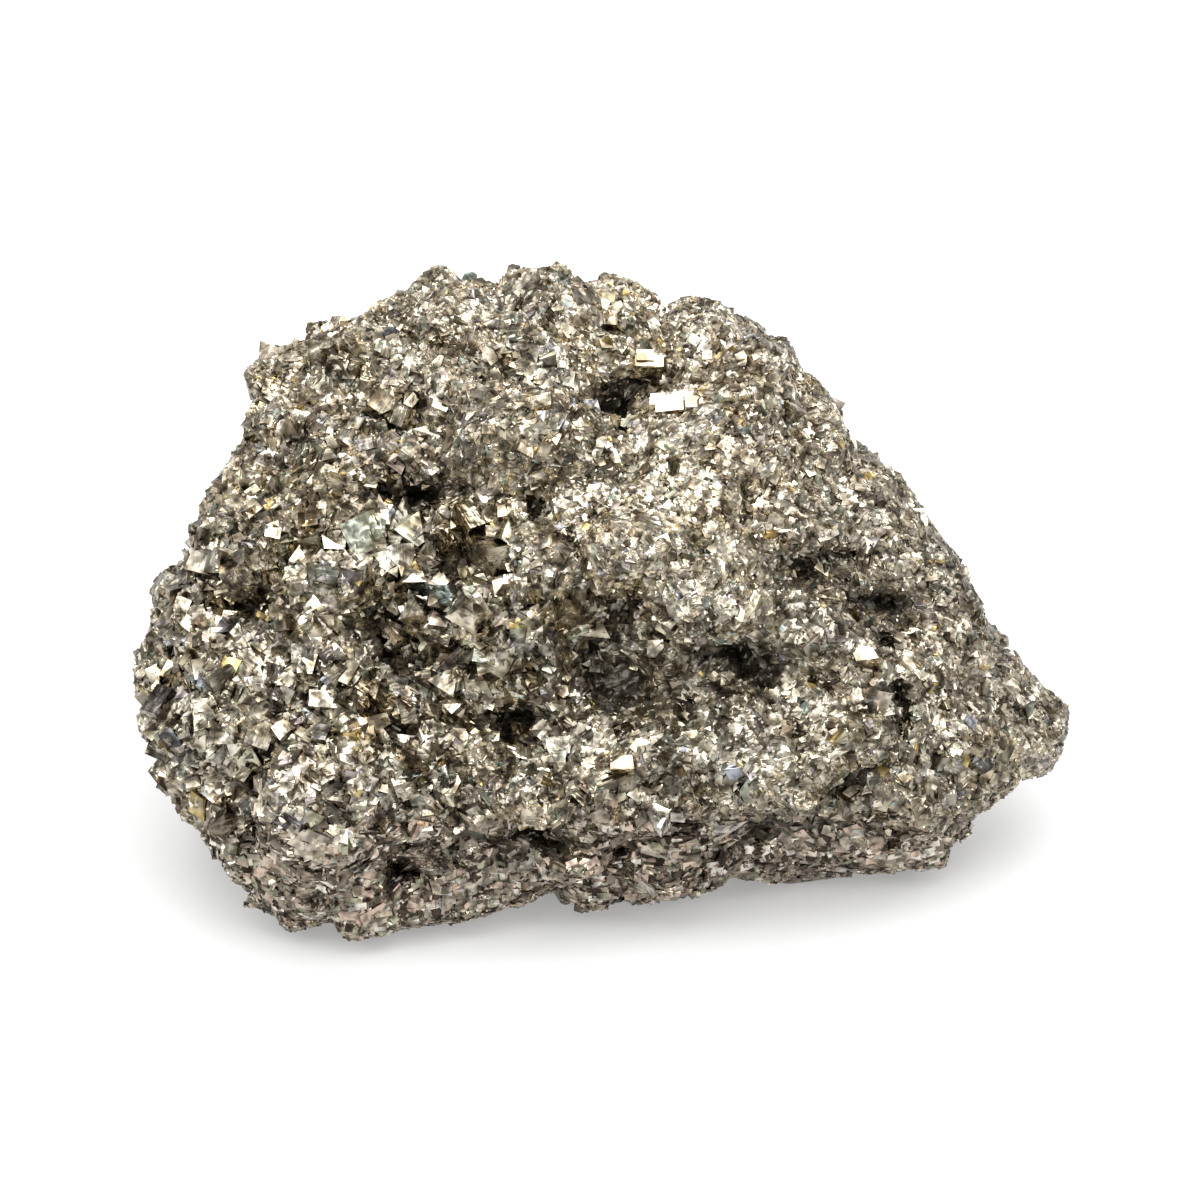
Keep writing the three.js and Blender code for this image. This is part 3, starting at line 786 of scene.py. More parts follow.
# The crust's two grades: the forms with their shares, how a crystal's size follows the usual one
# as a power of it, how far its corners are moved, and how many follow the skin where it is coarse
MEDIUM_GRADE = {
    "forms": [(form, 0.1) for form in BROKEN_CUBES] + [(CUBE, 0.2), (PYRITOHEDRON, 0.2)],
    "power": 1.0, "moved": 0.06, "following": 0.75}
FINE_GRADE = {
    "forms": [(CUBE, 0.8), (OCTAHEDRON, 0.2)], "power": 0.8, "moved": 0.13, "following": 0.9}


def random_turns(random, count):
    """Turns spread evenly over all directions, from random unit quaternions."""
    w, x, y, z = unit(random.normal(size=(count, 4))).T
    return np.stack([
        np.stack([1 - 2 * (y * y + z * z), 2 * (x * y - z * w), 2 * (x * z + y * w)], -1),
        np.stack([2 * (x * y + z * w), 1 - 2 * (x * x + z * z), 2 * (y * z - x * w)], -1),
        np.stack([2 * (x * z - y * w), 2 * (y * z + x * w), 1 - 2 * (x * x + y * y)], -1),
    ], 1)


def leaning_turns(random, out, spread, level):
    """Turns whose third axis is the way that the crystals face, leant by a random spread. The
    spin about it is random, or near enough level where asked."""
    third = unit(out + spread[:, None] * random.normal(size=out.shape))
    guide = random.normal(size=out.shape) + level[:, None] * np.array([0.0, 0.0, 4.0])
    first = unit(np.cross(third, guide))
    return np.stack([first, np.cross(third, first), third], -1)


def turns_about(axis, angle):
    """Turns about one axis: a cosine and a sine in the plane of the other two."""
    a, b = (axis + 1) % 3, (axis + 2) % 3
    turns = np.zeros((len(angle), 3, 3))
    turns[:, axis, axis] = 1
    turns[:, a, a] = turns[:, b, b] = np.cos(angle)
    turns[:, b, a] = np.sin(angle)
    turns[:, a, b] = -np.sin(angle)
    return turns


class Crystals:
    """Crystals gathered for one joined mesh."""

    def __init__(self):
        self.corners, self.loops, self.sides, self.stripes = [], [], [], []
        self.values = {name: [] for name in CRYSTAL_VALUES}
        self.count = 0

    def add(self, form, place, out, turns, sizes, sunk, looks, moved=0.0):
        """Each crystal is the form's corners, scaled along its own three axes and turned, with
        its middle a share of its size under a place of the skin. Corners may be moved by some
        share of the size. The rise tells how far out of the skin a corner stands, in sizes. On
        each face the stripe coordinates are the two crystal axes that lie best in it, shifted by
        the tone so that no two crystals share their stripes. Looks hold the rest by name."""
        corners, faces = form
        mean = sizes.mean(1)
        scaled = (corners + moved) * sizes[:, None]
        arms = np.einsum("nij,nkj->nki", turns, scaled)
        placed = arms + (place - out * (sunk * mean)[:, None])[:, None]
        starts = self.count + np.arange(len(place)) * len(corners)
        stripes = []
        for face in faces:
            a, b, c = corners[face[:3]]
            facing = np.abs(np.cross(b - a, c - a)).argmax()
            stripes.append(scaled[:, face][:, :, [(facing + 1) % 3, (facing + 2) % 3]])
        shift = STRIPE_SHIFT * looks["tone"][:, None, None]
        self.corners.append(placed.reshape(-1, 3))
        self.loops.append((starts[:, None] + np.concatenate(faces)).ravel())
        self.sides.append(np.tile([len(face) for face in faces], len(place)))
        self.stripes.append((np.concatenate(stripes, 1) + shift).reshape(-1, 2))
        rise = np.einsum("nkj,nj->nk", arms, out) / mean[:, None] - sunk[:, None]
        self.values["rise"].append(rise.ravel())
        for name, value in {**looks, "size": mean}.items():
            self.values[name].append(np.repeat(np.broadcast_to(value, len(place)), len(corners)))
        self.count += len(place) * len(corners)

    def mesh(self, name):
        """The joined mesh, with a value of each kind at every corner and the stripes as a map."""
        made = joined_mesh(
            name, np.concatenate(self.corners) * MM, np.concatenate(self.loops),
            np.concatenate(self.sides))
        for key, values in self.values.items():
            set_attribute(made, key, np.concatenate(values))
        stripes = made.uv_layers.new(name="stripes")
        stripes.data.foreach_set("uv", np.concatenate(self.stripes).astype(np.float32).ravel())
        return made


def joined_mesh(name, corners, loops, sides):
    """A flat-shaded mesh from its corners in metres, the corner at each step round its faces,
    and each face's number of sides."""
    made = bpy.data.meshes.new(name)
    made.vertices.add(len(corners))
    made.vertices.foreach_set("co", corners.astype(np.float32).ravel())
    made.loops.add(len(loops))
    made.loops.foreach_set("vertex_index", loops.astype(np.int32))
    made.polygons.add(len(sides))
    starts = np.concatenate([[0], np.cumsum(sides)[:-1]])
    made.polygons.foreach_set("loop_start", starts.astype(np.int32))
    made.update(calc_edges=True)
    made.shade_flat()
    return made


def set_attribute(mesh, name, values):
    """Stores a number at each corner of the mesh, for its material to read."""
    layer = mesh.attributes.new(name, "FLOAT", "POINT")
    layer.data.foreach_set("value", values.astype(np.float32))


def add_piece(name, mesh, material):
    """A finished piece of the specimen, riding on its one body and standing for its solid."""
    piece = bpy.data.objects.new(name, mesh)
    bpy.context.scene.collection.objects.link(piece)
    mesh.materials.append(material)
    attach(piece, BODY)
    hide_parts(CAD_NODE)


def repeatable(seed, count):
    """The solid's own random numbers from 0 to 1, each from the last by one step of a
    multiply-and-add."""
    state = seed
    drawn = []
    for _ in range(count):
        state = (state * 1664525 + 1013904223) % 2**32
        drawn.append(state / 2**32)
    return np.array(drawn)


def strewn_crystals():
    """The solid's strewn crystals: direction, size, turn and whether it has eight sides. One in
    four lies in the coarse patch, at a random share of its reach from its middle, and the rest
    lie evenly all round."""
    draws = repeatable(STREWN_SEED, 6 * STREWN_COUNT).reshape(-1, 6).T
    number = np.arange(STREWN_COUNT)
    coarse = number % 4 == 0
    angle = 2 * math.pi * draws[1]
    ring = np.column_stack([np.cos(angle), np.sin(angle)])
    in_patch = np.array(COARSE_PLACE) + ring * draws[0][:, None] * COARSE_REACH
    rise = 2 * draws[0] - 1
    anywhere = np.column_stack([ring * np.sqrt(1 - rise**2)[:, None], rise])
    direction = np.where(coarse[:, None], over(in_patch), anywhere)
    size = STREWN_SMALLEST + (STREWN_LARGEST - STREWN_SMALLEST) * draws[2] ** 2
    size = size * np.where(coarse, COARSE_GROWTH, 1)
    x, y, z = 3 * draws[3:]
    turns = turns_about(0, x) @ turns_about(1, y) @ turns_about(2, z)
    return direction, size, turns, number % 5 == 0


def add_bright_crystals(gathered, random):
    """The crystals that catch the light: cubes whose corners are a little moved, and whose third
    axis looks the way that the table says. Those in the vug keep their shape."""
    u, v, height, along, across = BRIGHT_CRYSTALS[:, :5].T
    direction = over(np.column_stack([u, v]))
    third = unit(turned_upright(BRIGHT_CRYSTALS[:, 5:]))
    second = unit(np.cross(third, [1.0, 0.0, 0.0]))
    turns = np.stack([np.cross(second, third), second, third], -1)
    sizes = np.column_stack([along, across, along])
    sunk = (0.45 * along - height) / sizes.mean(1)
    moved = random.uniform(-BRIGHT_MOVED, BRIGHT_MOVED, (len(u), len(CUBE[0]), 3))
    moved[IN_VUG] = 0
    moved[ON_LIP] *= LIP_MOVED
    looks = {
        "tone": 0.3 * random.random(len(u)), "shine": np.full(len(u), BRIGHT_SHINE),
        "wear": 0.0, "hollow": 0.0}
    looks["tone"][IN_VUG] = VUG_TONE
    looks["shine"][IN_VUG] = CLEAN_SHINE
    looks["shine"][ON_LIP] = CLEAN_SHINE
    gathered.add(
        CUBE, skin_points(direction), skin_normals(direction), turns, sizes, sunk, looks, moved)


def add_strewn_crystals(gathered, random, scale):
    """The solid's strewn crystals, a little smaller so that they don't stand out from the crust,
    as octahedra and as cubes with pieces broken off. None is in the vug, on worn ground, or so
    low that it could reach the floor."""
    direction, size, turns, eight_sided = strewn_crystals()
    size = size * scale
    sizes = size[:, None] * np.ones(3)
    tilted = skin_tilted(direction)
    place, out = upright(tilted), skin_normals(direction)
    in_front = direction[:, 2] >= 0
    wear = zone_fields(tilted, in_front)[2]
    in_vug = (np.hypot(*(tilted[:, :2] - VUG).T) < VUG_REACH) & in_front
    kept = (place[:, 2] > 1.5 * size) & (wear < 0.4) & ~in_vug
    sunk = np.full(len(size), STREWN_SUNK)
    tones = random.random(len(size))
    shines = 0.4 + 0.6 * random.random(len(size))
    kind = np.where(eight_sided, len(BROKEN_CUBES), np.arange(len(size)) % len(BROKEN_CUBES))
    for number, form in enumerate([*BROKEN_CUBES, OCTAHEDRON]):
        chosen = kept & (kind == number)
        looks = {"tone": tones[chosen], "shine": shines[chosen], "wear": 0.0, "hollow": 0.0}
        gathered.add(
            form, place[chosen], out[chosen], turns[chosen], sizes[chosen], sunk[chosen], looks)


def crust(settings, grade, count, growth, seed, faces_weight):
    """Crystals drawn over the skin, closer together where they are smaller, so that they cover
    it evenly, but fewer in the hollows and where the grain is fine. A crystal's size spreads
    about the usual size, most of them smaller and a few much larger, and is less at the outline.
    Most crystals face the way their block of the skin does, leant as their patch leans, and the
    others any way, sunk deeper. Where it is worn they are flat level flakes, hardly sunk."""
    skin = built_skin()
    random = np.random.default_rng(seed)
    usual, shine, wear, hollow, edge = (
        skin.face_mean(values)
        for values in (skin.size, skin.shine, skin.wear, skin.hollow, skin.edge))
    size = growth * usual ** grade["power"] * (1 - EDGE_SHRINK * edge)
    # Up to three in four are missing from a hollow, and up to two in five from the finest grain
    bare = np.clip(1.5 * (hollow - 0.45), 0, 0.75)
    weight = faces_weight / size**2 * (1 - bare) * (0.6 + 0.4 * np.clip(2 * usual - 0.8, 0, 1))
    place, face = skin.draw(random, count, weight)
    out = skin.normal[face]
    worn = np.clip(1.5 * wear[face], 0, 1)

    spread = SMALLEST_SHARE + SIZE_SPREAD * random.random(count) ** 3
    size = np.minimum(size[face] * spread, LARGEST_SIZE)
    stretch = random.uniform(1 - STRETCH, 1 + STRETCH, (count, 3))
    sizes = size[:, None] * (stretch + (FLAKE * stretch - stretch) * worn[:, None])
    sunk = random.uniform(settings.sunk - SUNK_SPREAD, settings.sunk + SUNK_SPREAD, count)
    sunk = sunk * (1 - 0.8 * worn)

    any_way = random_turns(random, count)
    coarse = np.clip((usual[face] - 0.4) / 0.7, 0, 1)
    frayed = place + random.normal(0, PATCH_FRAY, place.shape)
    lean = settings.patch_lean * (1 - 0.7 * worn)
    shared = patch_lean(frayed, settings.patch_size / MM)
    patch_out = unit(skin.facing[face] + lean[:, None] * shared)
    leant = leaning_turns(random, patch_out, 0.08 + 0.1 * coarse, worn)
    following = grade["following"]
    follows = random.random(count) < following + (1 - following) * (1 - coarse)
    turns = np.where(follows[:, None, None], leant, any_way)
    sunk = sunk + ASKEW_SUNK * ~follows

    tones = random.random(count)
    shines = shine[face] * (1 - 0.5 * worn)
    shines = np.clip(shines + random.normal(0, 0.15, count), 0, 1.5)
    pick = random.random(count)
    reach = HALF_DIAGONAL * stretch.max(1) * (1 + (FLAKE[0] - 1) * worn)
    clear = place[:, 2] > size * (FLOOR_GAP + reach)
    gathered = Crystals()
    low = 0.0
    for form, share in grade["forms"]:
        chosen = clear & (pick >= low) & (pick < low + share)
        low += share
        moved = random.uniform(-grade["moved"], grade["moved"], (chosen.sum(), len(form[0]), 3))
        looks = {
            "tone": tones[chosen], "shine": shines[chosen], "wear": worn[chosen],
            "hollow": hollow[face[chosen]]}
        gathered.add(
            form, place[chosen], out[chosen], turns[chosen], sizes[chosen], sunk[chosen], looks,
            moved)
    return gathered


def srgb(code):
    """An sRGB hex value as linear red, green, blue and one."""
    channels = [int(code[i:i + 2], 16) / 255 for i in (1, 3, 5)]
    return (*[c / 12.92 if c <= 0.04045 else ((c + 0.055) / 1.055) ** 2.4 for c in channels], 1.0)


def node(tree, kind, sockets=None, stops=(), interpolation="LINEAR", **settings):
    """Adds a node, sets its properties, and fills its sockets with values or with other nodes'
    outputs. A colour ramp also gets its stops, each a position and a colour."""
    made = tree.nodes.new(kind)
    for name, value in settings.items():
        setattr(made, name, value)
    for socket, value in (sockets or {}).items():
        if isinstance(value, bpy.types.NodeSocket):
            tree.links.new(value, made.inputs[socket])
        else:
            made.inputs[socket].default_value = value
    if stops:
        band = made.color_ramp
        band.interpolation = interpolation
        while len(band.elements) < len(stops):
            band.elements.new(0.5)
        for element, (position, colour) in zip(band.elements, stops):
            element.position = position
            element.color = colour
    return made


def grey(value):
    """A linear grey of that brightness."""
    return (value, value, value, 1.0)


def glittering(tree, place, cell, tilt):
    """The surface's direction, leant a random way in each small cell of space, by a tilt that is
    a number or an output."""
    cells = node(tree, "ShaderNodeTexVoronoi", {"Vector": place, "Scale": 1 / (cell * MM)})
    lean = node(
        tree, "ShaderNodeVectorMath", {0: cells.outputs["Color"], 1: (0.5, 0.5, 0.5)},
        operation="SUBTRACT")
    scaled = node(
        tree, "ShaderNodeVectorMath", {0: lean.outputs["Vector"], "Scale": tilt},
        operation="SCALE")
    summed = node(
        tree, "ShaderNodeVectorMath",
        {0: node(tree, "ShaderNodeNewGeometry").outputs["Normal"], 1: scaled.outputs["Vector"]},
        operation="ADD")
    made = node(
        tree, "ShaderNodeVectorMath", {0: summed.outputs["Vector"]}, operation="NORMALIZE")
    return made.outputs["Vector"]


def new_material(name):
    """An empty material and its node tree."""
    material = bpy.data.materials.new(name)
    material.use_nodes = True
    material.node_tree.nodes.clear()
    return material, material.node_tree


def crystal_pyrite():
    """Iron pyrite, as grown and broken crystals. A pale brass metal: grown faces free of dirt
    mirror the softboxes as hard white glints or the dark room as near black, with fine growth
    lines. Painted shade darkens them where they meet and in hollows, their shine paints them
    lighter or darker, partly as painted light, and dirt spots most of them. A few faces are golden
    or faintly iridescent."""
    material, tree = new_material("pyrite_crystal_faces")
    tone, shine, rise, wear, hollow, size = (
        node(tree, "ShaderNodeAttribute", attribute_name=name).outputs["Fac"]
        for name in CRYSTAL_VALUES)
    place = node(tree, "ShaderNodeTexCoord").outputs["Object"]
    drift, blotch, grain = (
        node(
            tree, "ShaderNodeTexNoise",
            {"Vector": place, "Scale": 1 / (width * MM), "Detail": detail}).outputs["Fac"]
        for width, detail in ((4.0, 2.0), (1.6, 1.0), (0.8, 1.0)))

    # Each crystal's own shade of metal, then blotches and a drifting tarnish over it
    colour = node(tree, "ShaderNodeValToRGB", {"Fac": tone}, interpolation="CONSTANT", stops=[
        (0.0, srgb("#d3ccbe")), (0.2, srgb("#dfd8ca")), (0.35, srgb("#b9b2a4")),
        (0.5, srgb("#989287")), (0.62, srgb("#bab6a4")), (0.74, srgb("#bfb4a6")),
        (0.83, srgb("#a39c9c")), (0.9, srgb("#a3a69a")), (0.95, srgb("#a9acb6")),
        (0.97, srgb("#a5b3af")), (0.986, srgb("#dcc68c")),
    ]).outputs["Color"]
    shade = node(tree, "ShaderNodeValToRGB", {"Fac": blotch}, stops=[
        (0.36, srgb("#a39a8e")), (0.5, srgb("#e6e2db")), (0.62, srgb("#ffffff"))])
    tarnish = node(tree, "ShaderNodeValToRGB", {"Fac": drift}, stops=[
        (0.36, srgb("#eff1f2")), (0.46, srgb("#f6f5f2")), (0.54, srgb("#f9f7f1")),
        (0.64, srgb("#f8f3e6"))])
    for layer in (shade, tarnish):
        colour = node(
            tree, "ShaderNodeMix", {FACTOR: 1.0, FIRST: colour, SECOND: layer.outputs["Color"]},
            data_type="RGBA", blend_type="MULTIPLY").outputs[MIXED]

    # Worn crystals are rubbed to brown, grey and pinkish flakes
    rubbed = node(tree, "ShaderNodeValToRGB", {"Fac": tone}, interpolation="CONSTANT", stops=[
        (0.0, srgb("#cfc4b3")), (0.2, srgb("#ab9e8c")), (0.4, srgb("#e6dfd3")),
        (0.52, srgb("#877b6e")), (0.66, srgb("#cfb9a8")), (0.78, srgb("#a8a78f")),
        (0.86, srgb("#50463d"))])
    colour = node(
        tree, "ShaderNodeMix", {FACTOR: wear, FIRST: colour, SECOND: rubbed.outputs["Color"]},
        data_type="RGBA").outputs[MIXED]

    # Painted shade at the foot of a crystal and in hollows, a brightness set by the shine that is
    # partly painted light, and real dirt in spots on all but the cleanest crystals
    spot = node(tree, "ShaderNodeMapRange", {
        "Value": shine, "From Min": 1.4, "From Max": CLEAN_SHINE, "To Min": 0.45, "To Max": 1.0})
    # Painted shade: a crystal's lower corners, sunk in the skin, are darker
    painted_shade_and_spots = node(tree, "ShaderNodeMapRange", {
        "Value": rise, "From Min": -0.25, "From Max": 0.15, "To Min": 0.5, "To Max": 1.0})
    shine_and_painted_light = node(tree, "ShaderNodeMapRange", {
        # Partly painted light: crystals of more shine, as on the zones that face the softbox, are
        # painted lighter
        "Value": shine, "From Min": 0.3, "From Max": 1.3, "To Min": 0.84, "To Max": 1.36})
    # Painted shade: crystals in hollows are darker
    painted_hollow_shade = node(tree, "ShaderNodeMapRange", {
        "Value": hollow, "From Min": 0.3, "From Max": 1.0, "To Min": 1.0, "To Max": 0.65})
    spotted = node(tree, "ShaderNodeMapRange", {
        "Value": grain, "From Min": 0.36, "From Max": 0.54, "To Min": spot.outputs["Result"],
        "To Max": 1.0})
    for share in (shine_and_painted_light, painted_hollow_shade, spotted):
        painted_shade_and_spots = node(
            tree, "ShaderNodeMath", {0: painted_shade_and_spots.outputs[0], 1: share.outputs["Result"]},
            operation="MULTIPLY")
    # The painted shade, the painted light and the dirt spots scale the colour
    with_painted_shade = node(
        tree, "ShaderNodeMix", {FACTOR: 1.0, FIRST: colour, SECOND: painted_shade_and_spots.outputs["Value"]},
        data_type="RGBA", blend_type="MULTIPLY")

    # Large crystals are smoother, and all have broken patches that glitter. The grains of such a
    # patch are a few hundredths of a millimetre wide, and drawn coarser so that they show.
    tilt = node(tree, "ShaderNodeMapRange", {
        "Value": grain, "From Min": 0.5, "From Max": 0.62, "To Min": 0.03, "To Max": 0.3})
    dusty = node(tree, "ShaderNodeMapRange", {
        "Value": size, "From Min": 0.4, "From Max": 1.4, "To Min": 0.54, "To Max": 0.18})
    roughness = node(tree, "ShaderNodeMapRange", {
        "Value": grain, "From Min": 0.52, "From Max": 0.62, "To Min": dusty.outputs["Result"],
        "To Max": 0.16})
    waved = node(tree, "ShaderNodeBump", {
        "Height": grain, "Normal": glittering(tree, place, 0.5, tilt.outputs["Result"]),
        "Strength": 0.5, "Distance": 0.3 * MM})

    # Growth lines, 0.2 mm apart. Most real ones are finer, and drawn coarser so that they show.
    lines_place = node(tree, "ShaderNodeMapping", {
        "Vector": node(tree, "ShaderNodeUVMap", uv_map="stripes").outputs["UV"],
        "Scale": (1 / 0.2, 1 / 3.0, 1.0)})
    lines = node(
        tree, "ShaderNodeTexNoise",
        {"Vector": lines_place.outputs["Vector"], "Scale": 1.0, "Detail": 1.0})
    lined = node(tree, "ShaderNodeBump", {
        "Height": lines.outputs["Fac"], "Normal": waved.outputs["Normal"], "Strength": 0.6,
        "Distance": 0.05 * MM})

    shader = node(tree, "ShaderNodeBsdfPrincipled", {
        "Base Color": with_painted_shade.outputs[MIXED], "Roughness": roughness.outputs["Result"],
        "Normal": lined.outputs["Normal"], "Metallic": 1.0})
    node(tree, "ShaderNodeOutputMaterial", {"Surface": shader.outputs["BSDF"]})
    return material


def granular_pyrite():
    """Iron pyrite, fine-grained and broken. Grains too small to be crystals of their own each
    tilt the light their own way, so the ground between the crystals glitters. It is darkened
    by painted shade in the hollows, and matte brown where it is worn."""
    material, tree = new_material("pyrite_granular_ground")
    shine, hollow, wear = (
        node(tree, "ShaderNodeAttribute", attribute_name=name).outputs["Fac"]
        for name in GROUND_VALUES)
    place = node(tree, "ShaderNodeTexCoord").outputs["Object"]
    blotch = node(
        tree, "ShaderNodeTexNoise", {"Vector": place, "Scale": 1 / (1.1 * MM), "Detail": 5.0})
    colour = node(tree, "ShaderNodeValToRGB", {"Fac": blotch.outputs["Fac"]}, stops=[
        (0.35, srgb("#5a544a")), (0.5, srgb("#a39c8e")), (0.65, srgb("#d1cabc"))])
    pores = node(
        tree, "ShaderNodeTexNoise", {"Vector": place, "Scale": 1 / (0.5 * MM), "Detail": 3.0})
    rubbed = node(tree, "ShaderNodeValToRGB", {"Fac": pores.outputs["Fac"]}, stops=[
        (0.42, srgb("#2f2822")), (0.5, srgb("#7d7162")), (0.62, srgb("#b9ab98"))])
    worn = node(
        tree, "ShaderNodeMix",
        {FACTOR: wear, FIRST: colour.outputs["Color"], SECOND: rubbed.outputs["Color"]},
        data_type="RGBA")
    # Painted shade: the ground is darker in hollows
    painted_pit_shade = node(tree, "ShaderNodeMapRange", {
        "Value": hollow, "From Min": 0.1, "From Max": 0.9, "To Min": 1.0, "To Max": 0.4})
    with_painted_shade = node(
        tree, "ShaderNodeMix",
        {FACTOR: 1.0, FIRST: worn.outputs[MIXED], SECOND: painted_pit_shade.outputs["Result"]},
        data_type="RGBA", blend_type="MULTIPLY")
    roughness = node(tree, "ShaderNodeMapRange", {
        "Value": shine, "From Min": 0.2, "From Max": 1.2, "To Min": 0.5, "To Max": 0.25})
    tilt = node(tree, "ShaderNodeMapRange", {
        "Value": shine, "From Min": 0.5, "From Max": 1.3, "To Min": 0.5, "To Max": 0.25})
    # Real grains here are under a tenth of a millimetre wide, and drawn coarser so that they show
    glitter = glittering(tree, place, 0.42, tilt.outputs["Result"])
    shader = node(tree, "ShaderNodeBsdfPrincipled", {
        "Base Color": with_painted_shade.outputs[MIXED], "Roughness": roughness.outputs["Result"],
        "Normal": glitter, "Metallic": 1.0})
    node(tree, "ShaderNodeOutputMaterial", {"Surface": shader.outputs["BSDF"]})
    return material


def material_of(maker):
    """The material that a maker makes, made once and then shared."""
    if maker.__name__ not in KEPT:
        KEPT[maker.__name__] = maker()
    return KEPT[maker.__name__]


def add_floor(settings):
    """A square of floor under the part and far around it."""
    half = FLOOR_HALF
    corners = np.array([[-half, -half, 0], [half, -half, 0], [half, half, 0], [-half, half, 0]])
    mesh = joined_mesh("floor", corners, np.arange(4), np.array([4]))
    mesh.materials.append(opal_floor(settings))
    floor = bpy.data.objects.new("floor", mesh)
    bpy.context.scene.collection.objects.link(floor)


def opal_floor(settings):
    """Opal acrylic over a light table: pale and matte, with some light of its own, which takes
    the floor to white around the part and leaves only a soft shadow under it."""
    material, tree = new_material("floor_opal_acrylic")
    shader = node(tree, "ShaderNodeBsdfPrincipled", {
        "Base Color": (*settings.floor_colour, 1.0), "Roughness": 0.9, "Specular IOR Level": 0.0,
        "Emission Color": grey(1.0), "Emission Strength": settings.floor_glow})
    node(tree, "ShaderNodeOutputMaterial", {"Surface": shader.outputs["BSDF"]})
    return material


def aim(thing, place, toward):
    """Puts a lamp or a camera at a place, with its own -Z the way it is to look."""
    thing.location = place
    thing.rotation_mode = "QUATERNION"
    thing.rotation_quaternion = toward.to_track_quat("-Z", "Y")
    bpy.context.scene.collection.objects.link(thing)


def add_softbox(name, place, target, size, power):
    """A square area light that faces a target."""
    light = bpy.data.lights.new(name, "AREA")
    light.size = size
    light.energy = power
    aim(bpy.data.objects.new(name, light), place, Vector(target) - Vector(place))


def add_studio(settings):
    """The plain room around: pale near the floor, darker at eye level and bright above, broken up
    by large soft panels so that the crystals have something to mirror."""
    world = bpy.data.worlds.new("studio")
    bpy.context.scene.world = world
    world.use_nodes = True
    tree = world.node_tree
    tree.nodes.clear()
    outward = node(tree, "ShaderNodeTexCoord").outputs["Generated"]
    up = node(tree, "ShaderNodeSeparateXYZ", {"Vector": outward})
    height = node(tree, "ShaderNodeValToRGB", {"Fac": up.outputs["Z"]}, stops=[
        (0.0, grey(0.9)), (0.08, grey(0.6)), (0.25, grey(settings.surround)),
        (0.45, grey(settings.surround)), (0.8, grey(settings.ceiling))])
    panels = node(tree, "ShaderNodeTexNoise", {"Vector": outward, "Scale": 3.0, "Detail": 1.0})
    contrast = node(tree, "ShaderNodeValToRGB", {"Fac": panels.outputs["Fac"]}, stops=[
        (0.38, grey(0.5)), (0.5, grey(0.95)), (0.62, grey(1.6))])
    sky = node(
        tree, "ShaderNodeMix",
        {FACTOR: 1.0, FIRST: height.outputs["Color"], SECOND: contrast.outputs["Color"]},
        data_type="RGBA", blend_type="MULTIPLY", clamp_result=False)
    background = node(
        tree, "ShaderNodeBackground", {"Color": sky.outputs[MIXED], "Strength": 1.0})
    node(tree, "ShaderNodeOutputWorld", {"Surface": background.outputs["Background"]})


def add_camera(target):
    """A camera where the photo's eye was, with a lens that gives the photo's scale at the
    target: pixels to a millimetre, times the distance, times the sensor's share of the frame."""
    camera = bpy.data.cameras.new("camera")
    camera.lens = PIXELS_PER_MM * EYE_DISTANCE * SENSOR_WIDTH / PHOTO_WIDTH
    camera.sensor_width = SENSOR_WIDTH
    eye = bpy.data.objects.new("camera", camera)
    away = Vector((0, -math.cos(EYE_ELEVATION), math.sin(EYE_ELEVATION)))
    aim(eye, target + away * EYE_DISTANCE * MM, -away)
    bpy.context.scene.camera = eye


class PYRITE_OT_stage(bpy.types.Operator):
    """Sets the floor, the softboxes, the surroundings and the camera"""

    bl_idname = "pyrite.stage"
    bl_label = "Stage"

    def execute(self, context):
        settings = context.scene.pyrite_stage
        target = Vector(-FOOT) * MM
        add_floor(settings)
        add_softbox(
            "overhead_softbox", SOFTBOX_PLACE, target, SOFTBOX_SIZE, settings.softbox_power)
        for side in (-1, 1):
            across, front, up = FILL_PLACE
            add_softbox(
                "side_softbox", (side * across, front, up), target, FILL_SIZE,
                settings.fill_power)
        add_studio(settings)
        add_camera(target)
        context.scene.view_settings.view_transform = "Standard"
        return {"FINISHED"}


class PYRITE_OT_body(bpy.types.Operator):
    """Builds the lump's fine skin"""

    bl_idname = "pyrite.body"
    bl_label = "Pyrite Body"

    def execute(self, context):
        skin = Skin(context.scene.pyrite_skin)
        KEPT["skin"] = skin
        mesh = joined_mesh(
            "pyrite_body", skin.points * MM, skin.quads.ravel(), np.full(len(skin.quads), 4))
        for name in GROUND_VALUES:
            set_attribute(mesh, name, getattr(skin, name))
        add_piece("pyrite_body", mesh, material_of(granular_pyrite))
        return {"FINISHED"}


class PYRITE_OT_large_crystals(bpy.types.Operator):
    """Builds the crystals that catch the light and the solid's strewn ones"""

    bl_idname = "pyrite.large_crystals"
    bl_label = "Large Crystals"

    def execute(self, context):
        settings = context.scene.pyrite_crystals
        random = np.random.default_rng(settings.seed)
        gathered = Crystals()
        add_bright_crystals(gathered, random)
        add_strewn_crystals(gathered, random, settings.strewn_scale)
        add_piece(
            "large_crystals", gathered.mesh("large_crystals"), material_of(crystal_pyrite))
        return {"FINISHED"}


class PYRITE_OT_medium_crystals(bpy.types.Operator):
    """Builds the medium crystals all over the lump, with few on worn ground"""

    bl_idname = "pyrite.medium_crystals"
    bl_label = "Medium Crystals"

    def execute(self, context):
        settings = context.scene.pyrite_crystals
        skin = built_skin()
        unworn = 1 - 0.8 * skin.face_mean(skin.wear)
        gathered = crust(
            settings, MEDIUM_GRADE, settings.medium_count, settings.medium_growth,
            settings.seed + 1, unworn)
        add_piece(
            "medium_crystals", gathered.mesh("medium_crystals"), material_of(crystal_pyrite))
        return {"FINISHED"}


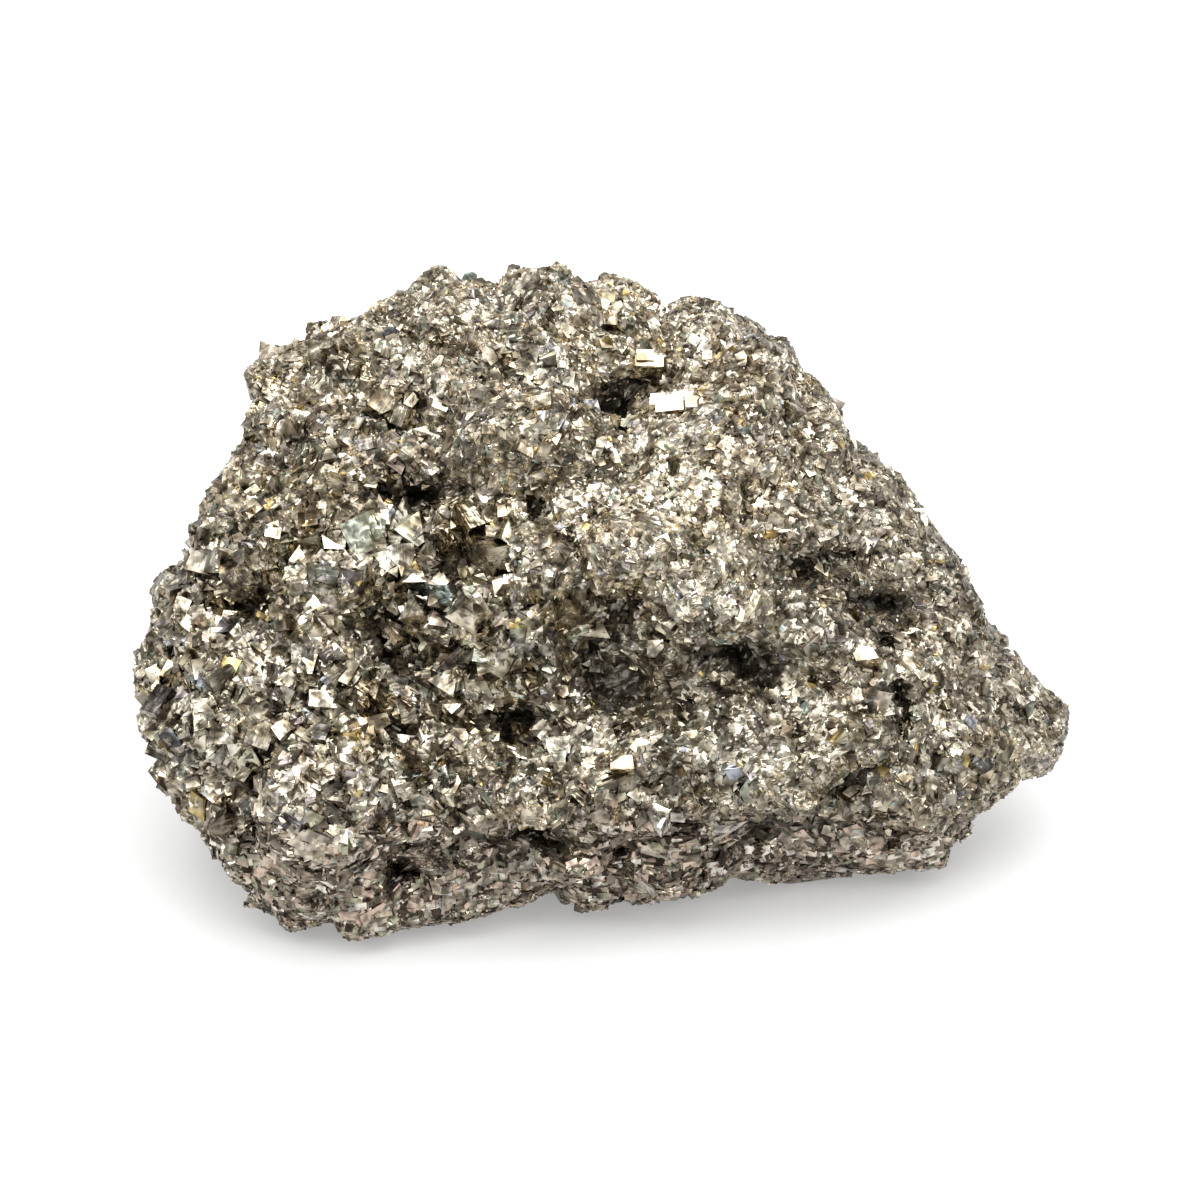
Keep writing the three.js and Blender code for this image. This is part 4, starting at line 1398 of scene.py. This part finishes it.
class PYRITE_OT_fine_crystals(bpy.types.Operator):
    """Builds the fine crystals of the front's two sides and of the back"""

    bl_idname = "pyrite.fine_crystals"
    bl_label = "Fine Crystals"

    def execute(self, context):
        settings = context.scene.pyrite_crystals
        skin = built_skin()
        u, _, w = skin.direction[skin.quads].mean(1).T
        sides = (("left", (w > 0) & (u < 0)), ("right", (w > 0) & (u >= 0)), ("back", w <= 0))
        for step, (side, on_side) in enumerate(sides, 2):
            name = "fine_crystals_" + side
            gathered = crust(
                settings, FINE_GRADE, settings.fine_count, settings.fine_growth,
                settings.seed + step, on_side.astype(float))
            add_piece(name, gathered.mesh(name), material_of(crystal_pyrite))
        return {"FINISHED"}


class PYRITE_PT_panel(bpy.types.Panel):
    """Lists the specimen's pieces and its stage"""

    bl_idname = "PYRITE_PT_panel"
    bl_label = "Pyrite Specimen"
    bl_space_type = "VIEW_3D"
    bl_region_type = "UI"
    bl_category = "Pyrite"

    def draw(self, context):
        for settings, operators in PANEL_ROWS:
            box = self.layout.box()
            group = getattr(context.scene, settings)
            for name in group.__annotations__:
                box.prop(group, name)
            for operator in operators:
                box.operator(operator.bl_idname)


SETTINGS = {
    "pyrite_skin": PyriteSkinSettings,
    "pyrite_crystals": PyriteCrystalSettings,
    "pyrite_stage": PyriteStageSettings,
}
PANEL_ROWS = [
    ("pyrite_skin", [PYRITE_OT_body]),
    ("pyrite_crystals",
     [PYRITE_OT_large_crystals, PYRITE_OT_medium_crystals, PYRITE_OT_fine_crystals]),
    ("pyrite_stage", [PYRITE_OT_stage]),
]
OPERATORS = [operator for _, operators in PANEL_ROWS for operator in operators]
CLASSES = [*SETTINGS.values(), *OPERATORS, PYRITE_PT_panel]


def register():
    """Adds the classes and gives each scene its settings."""
    for made in CLASSES:
        bpy.utils.register_class(made)
    for name, group in SETTINGS.items():
        setattr(bpy.types.Scene, name, PointerProperty(type=group))


def unregister():
    """Takes the settings and the classes away again."""
    for name in SETTINGS:
        delattr(bpy.types.Scene, name)
    for made in reversed(CLASSES):
        bpy.utils.unregister_class(made)


def main():
    """Builds the stage and the pieces."""
    register()
    bpy.ops.pyrite.stage()
    bpy.ops.pyrite.body()
    bpy.ops.pyrite.large_crystals()
    bpy.ops.pyrite.medium_crystals()
    bpy.ops.pyrite.fine_crystals()


if __name__ == "__main__":
    main()
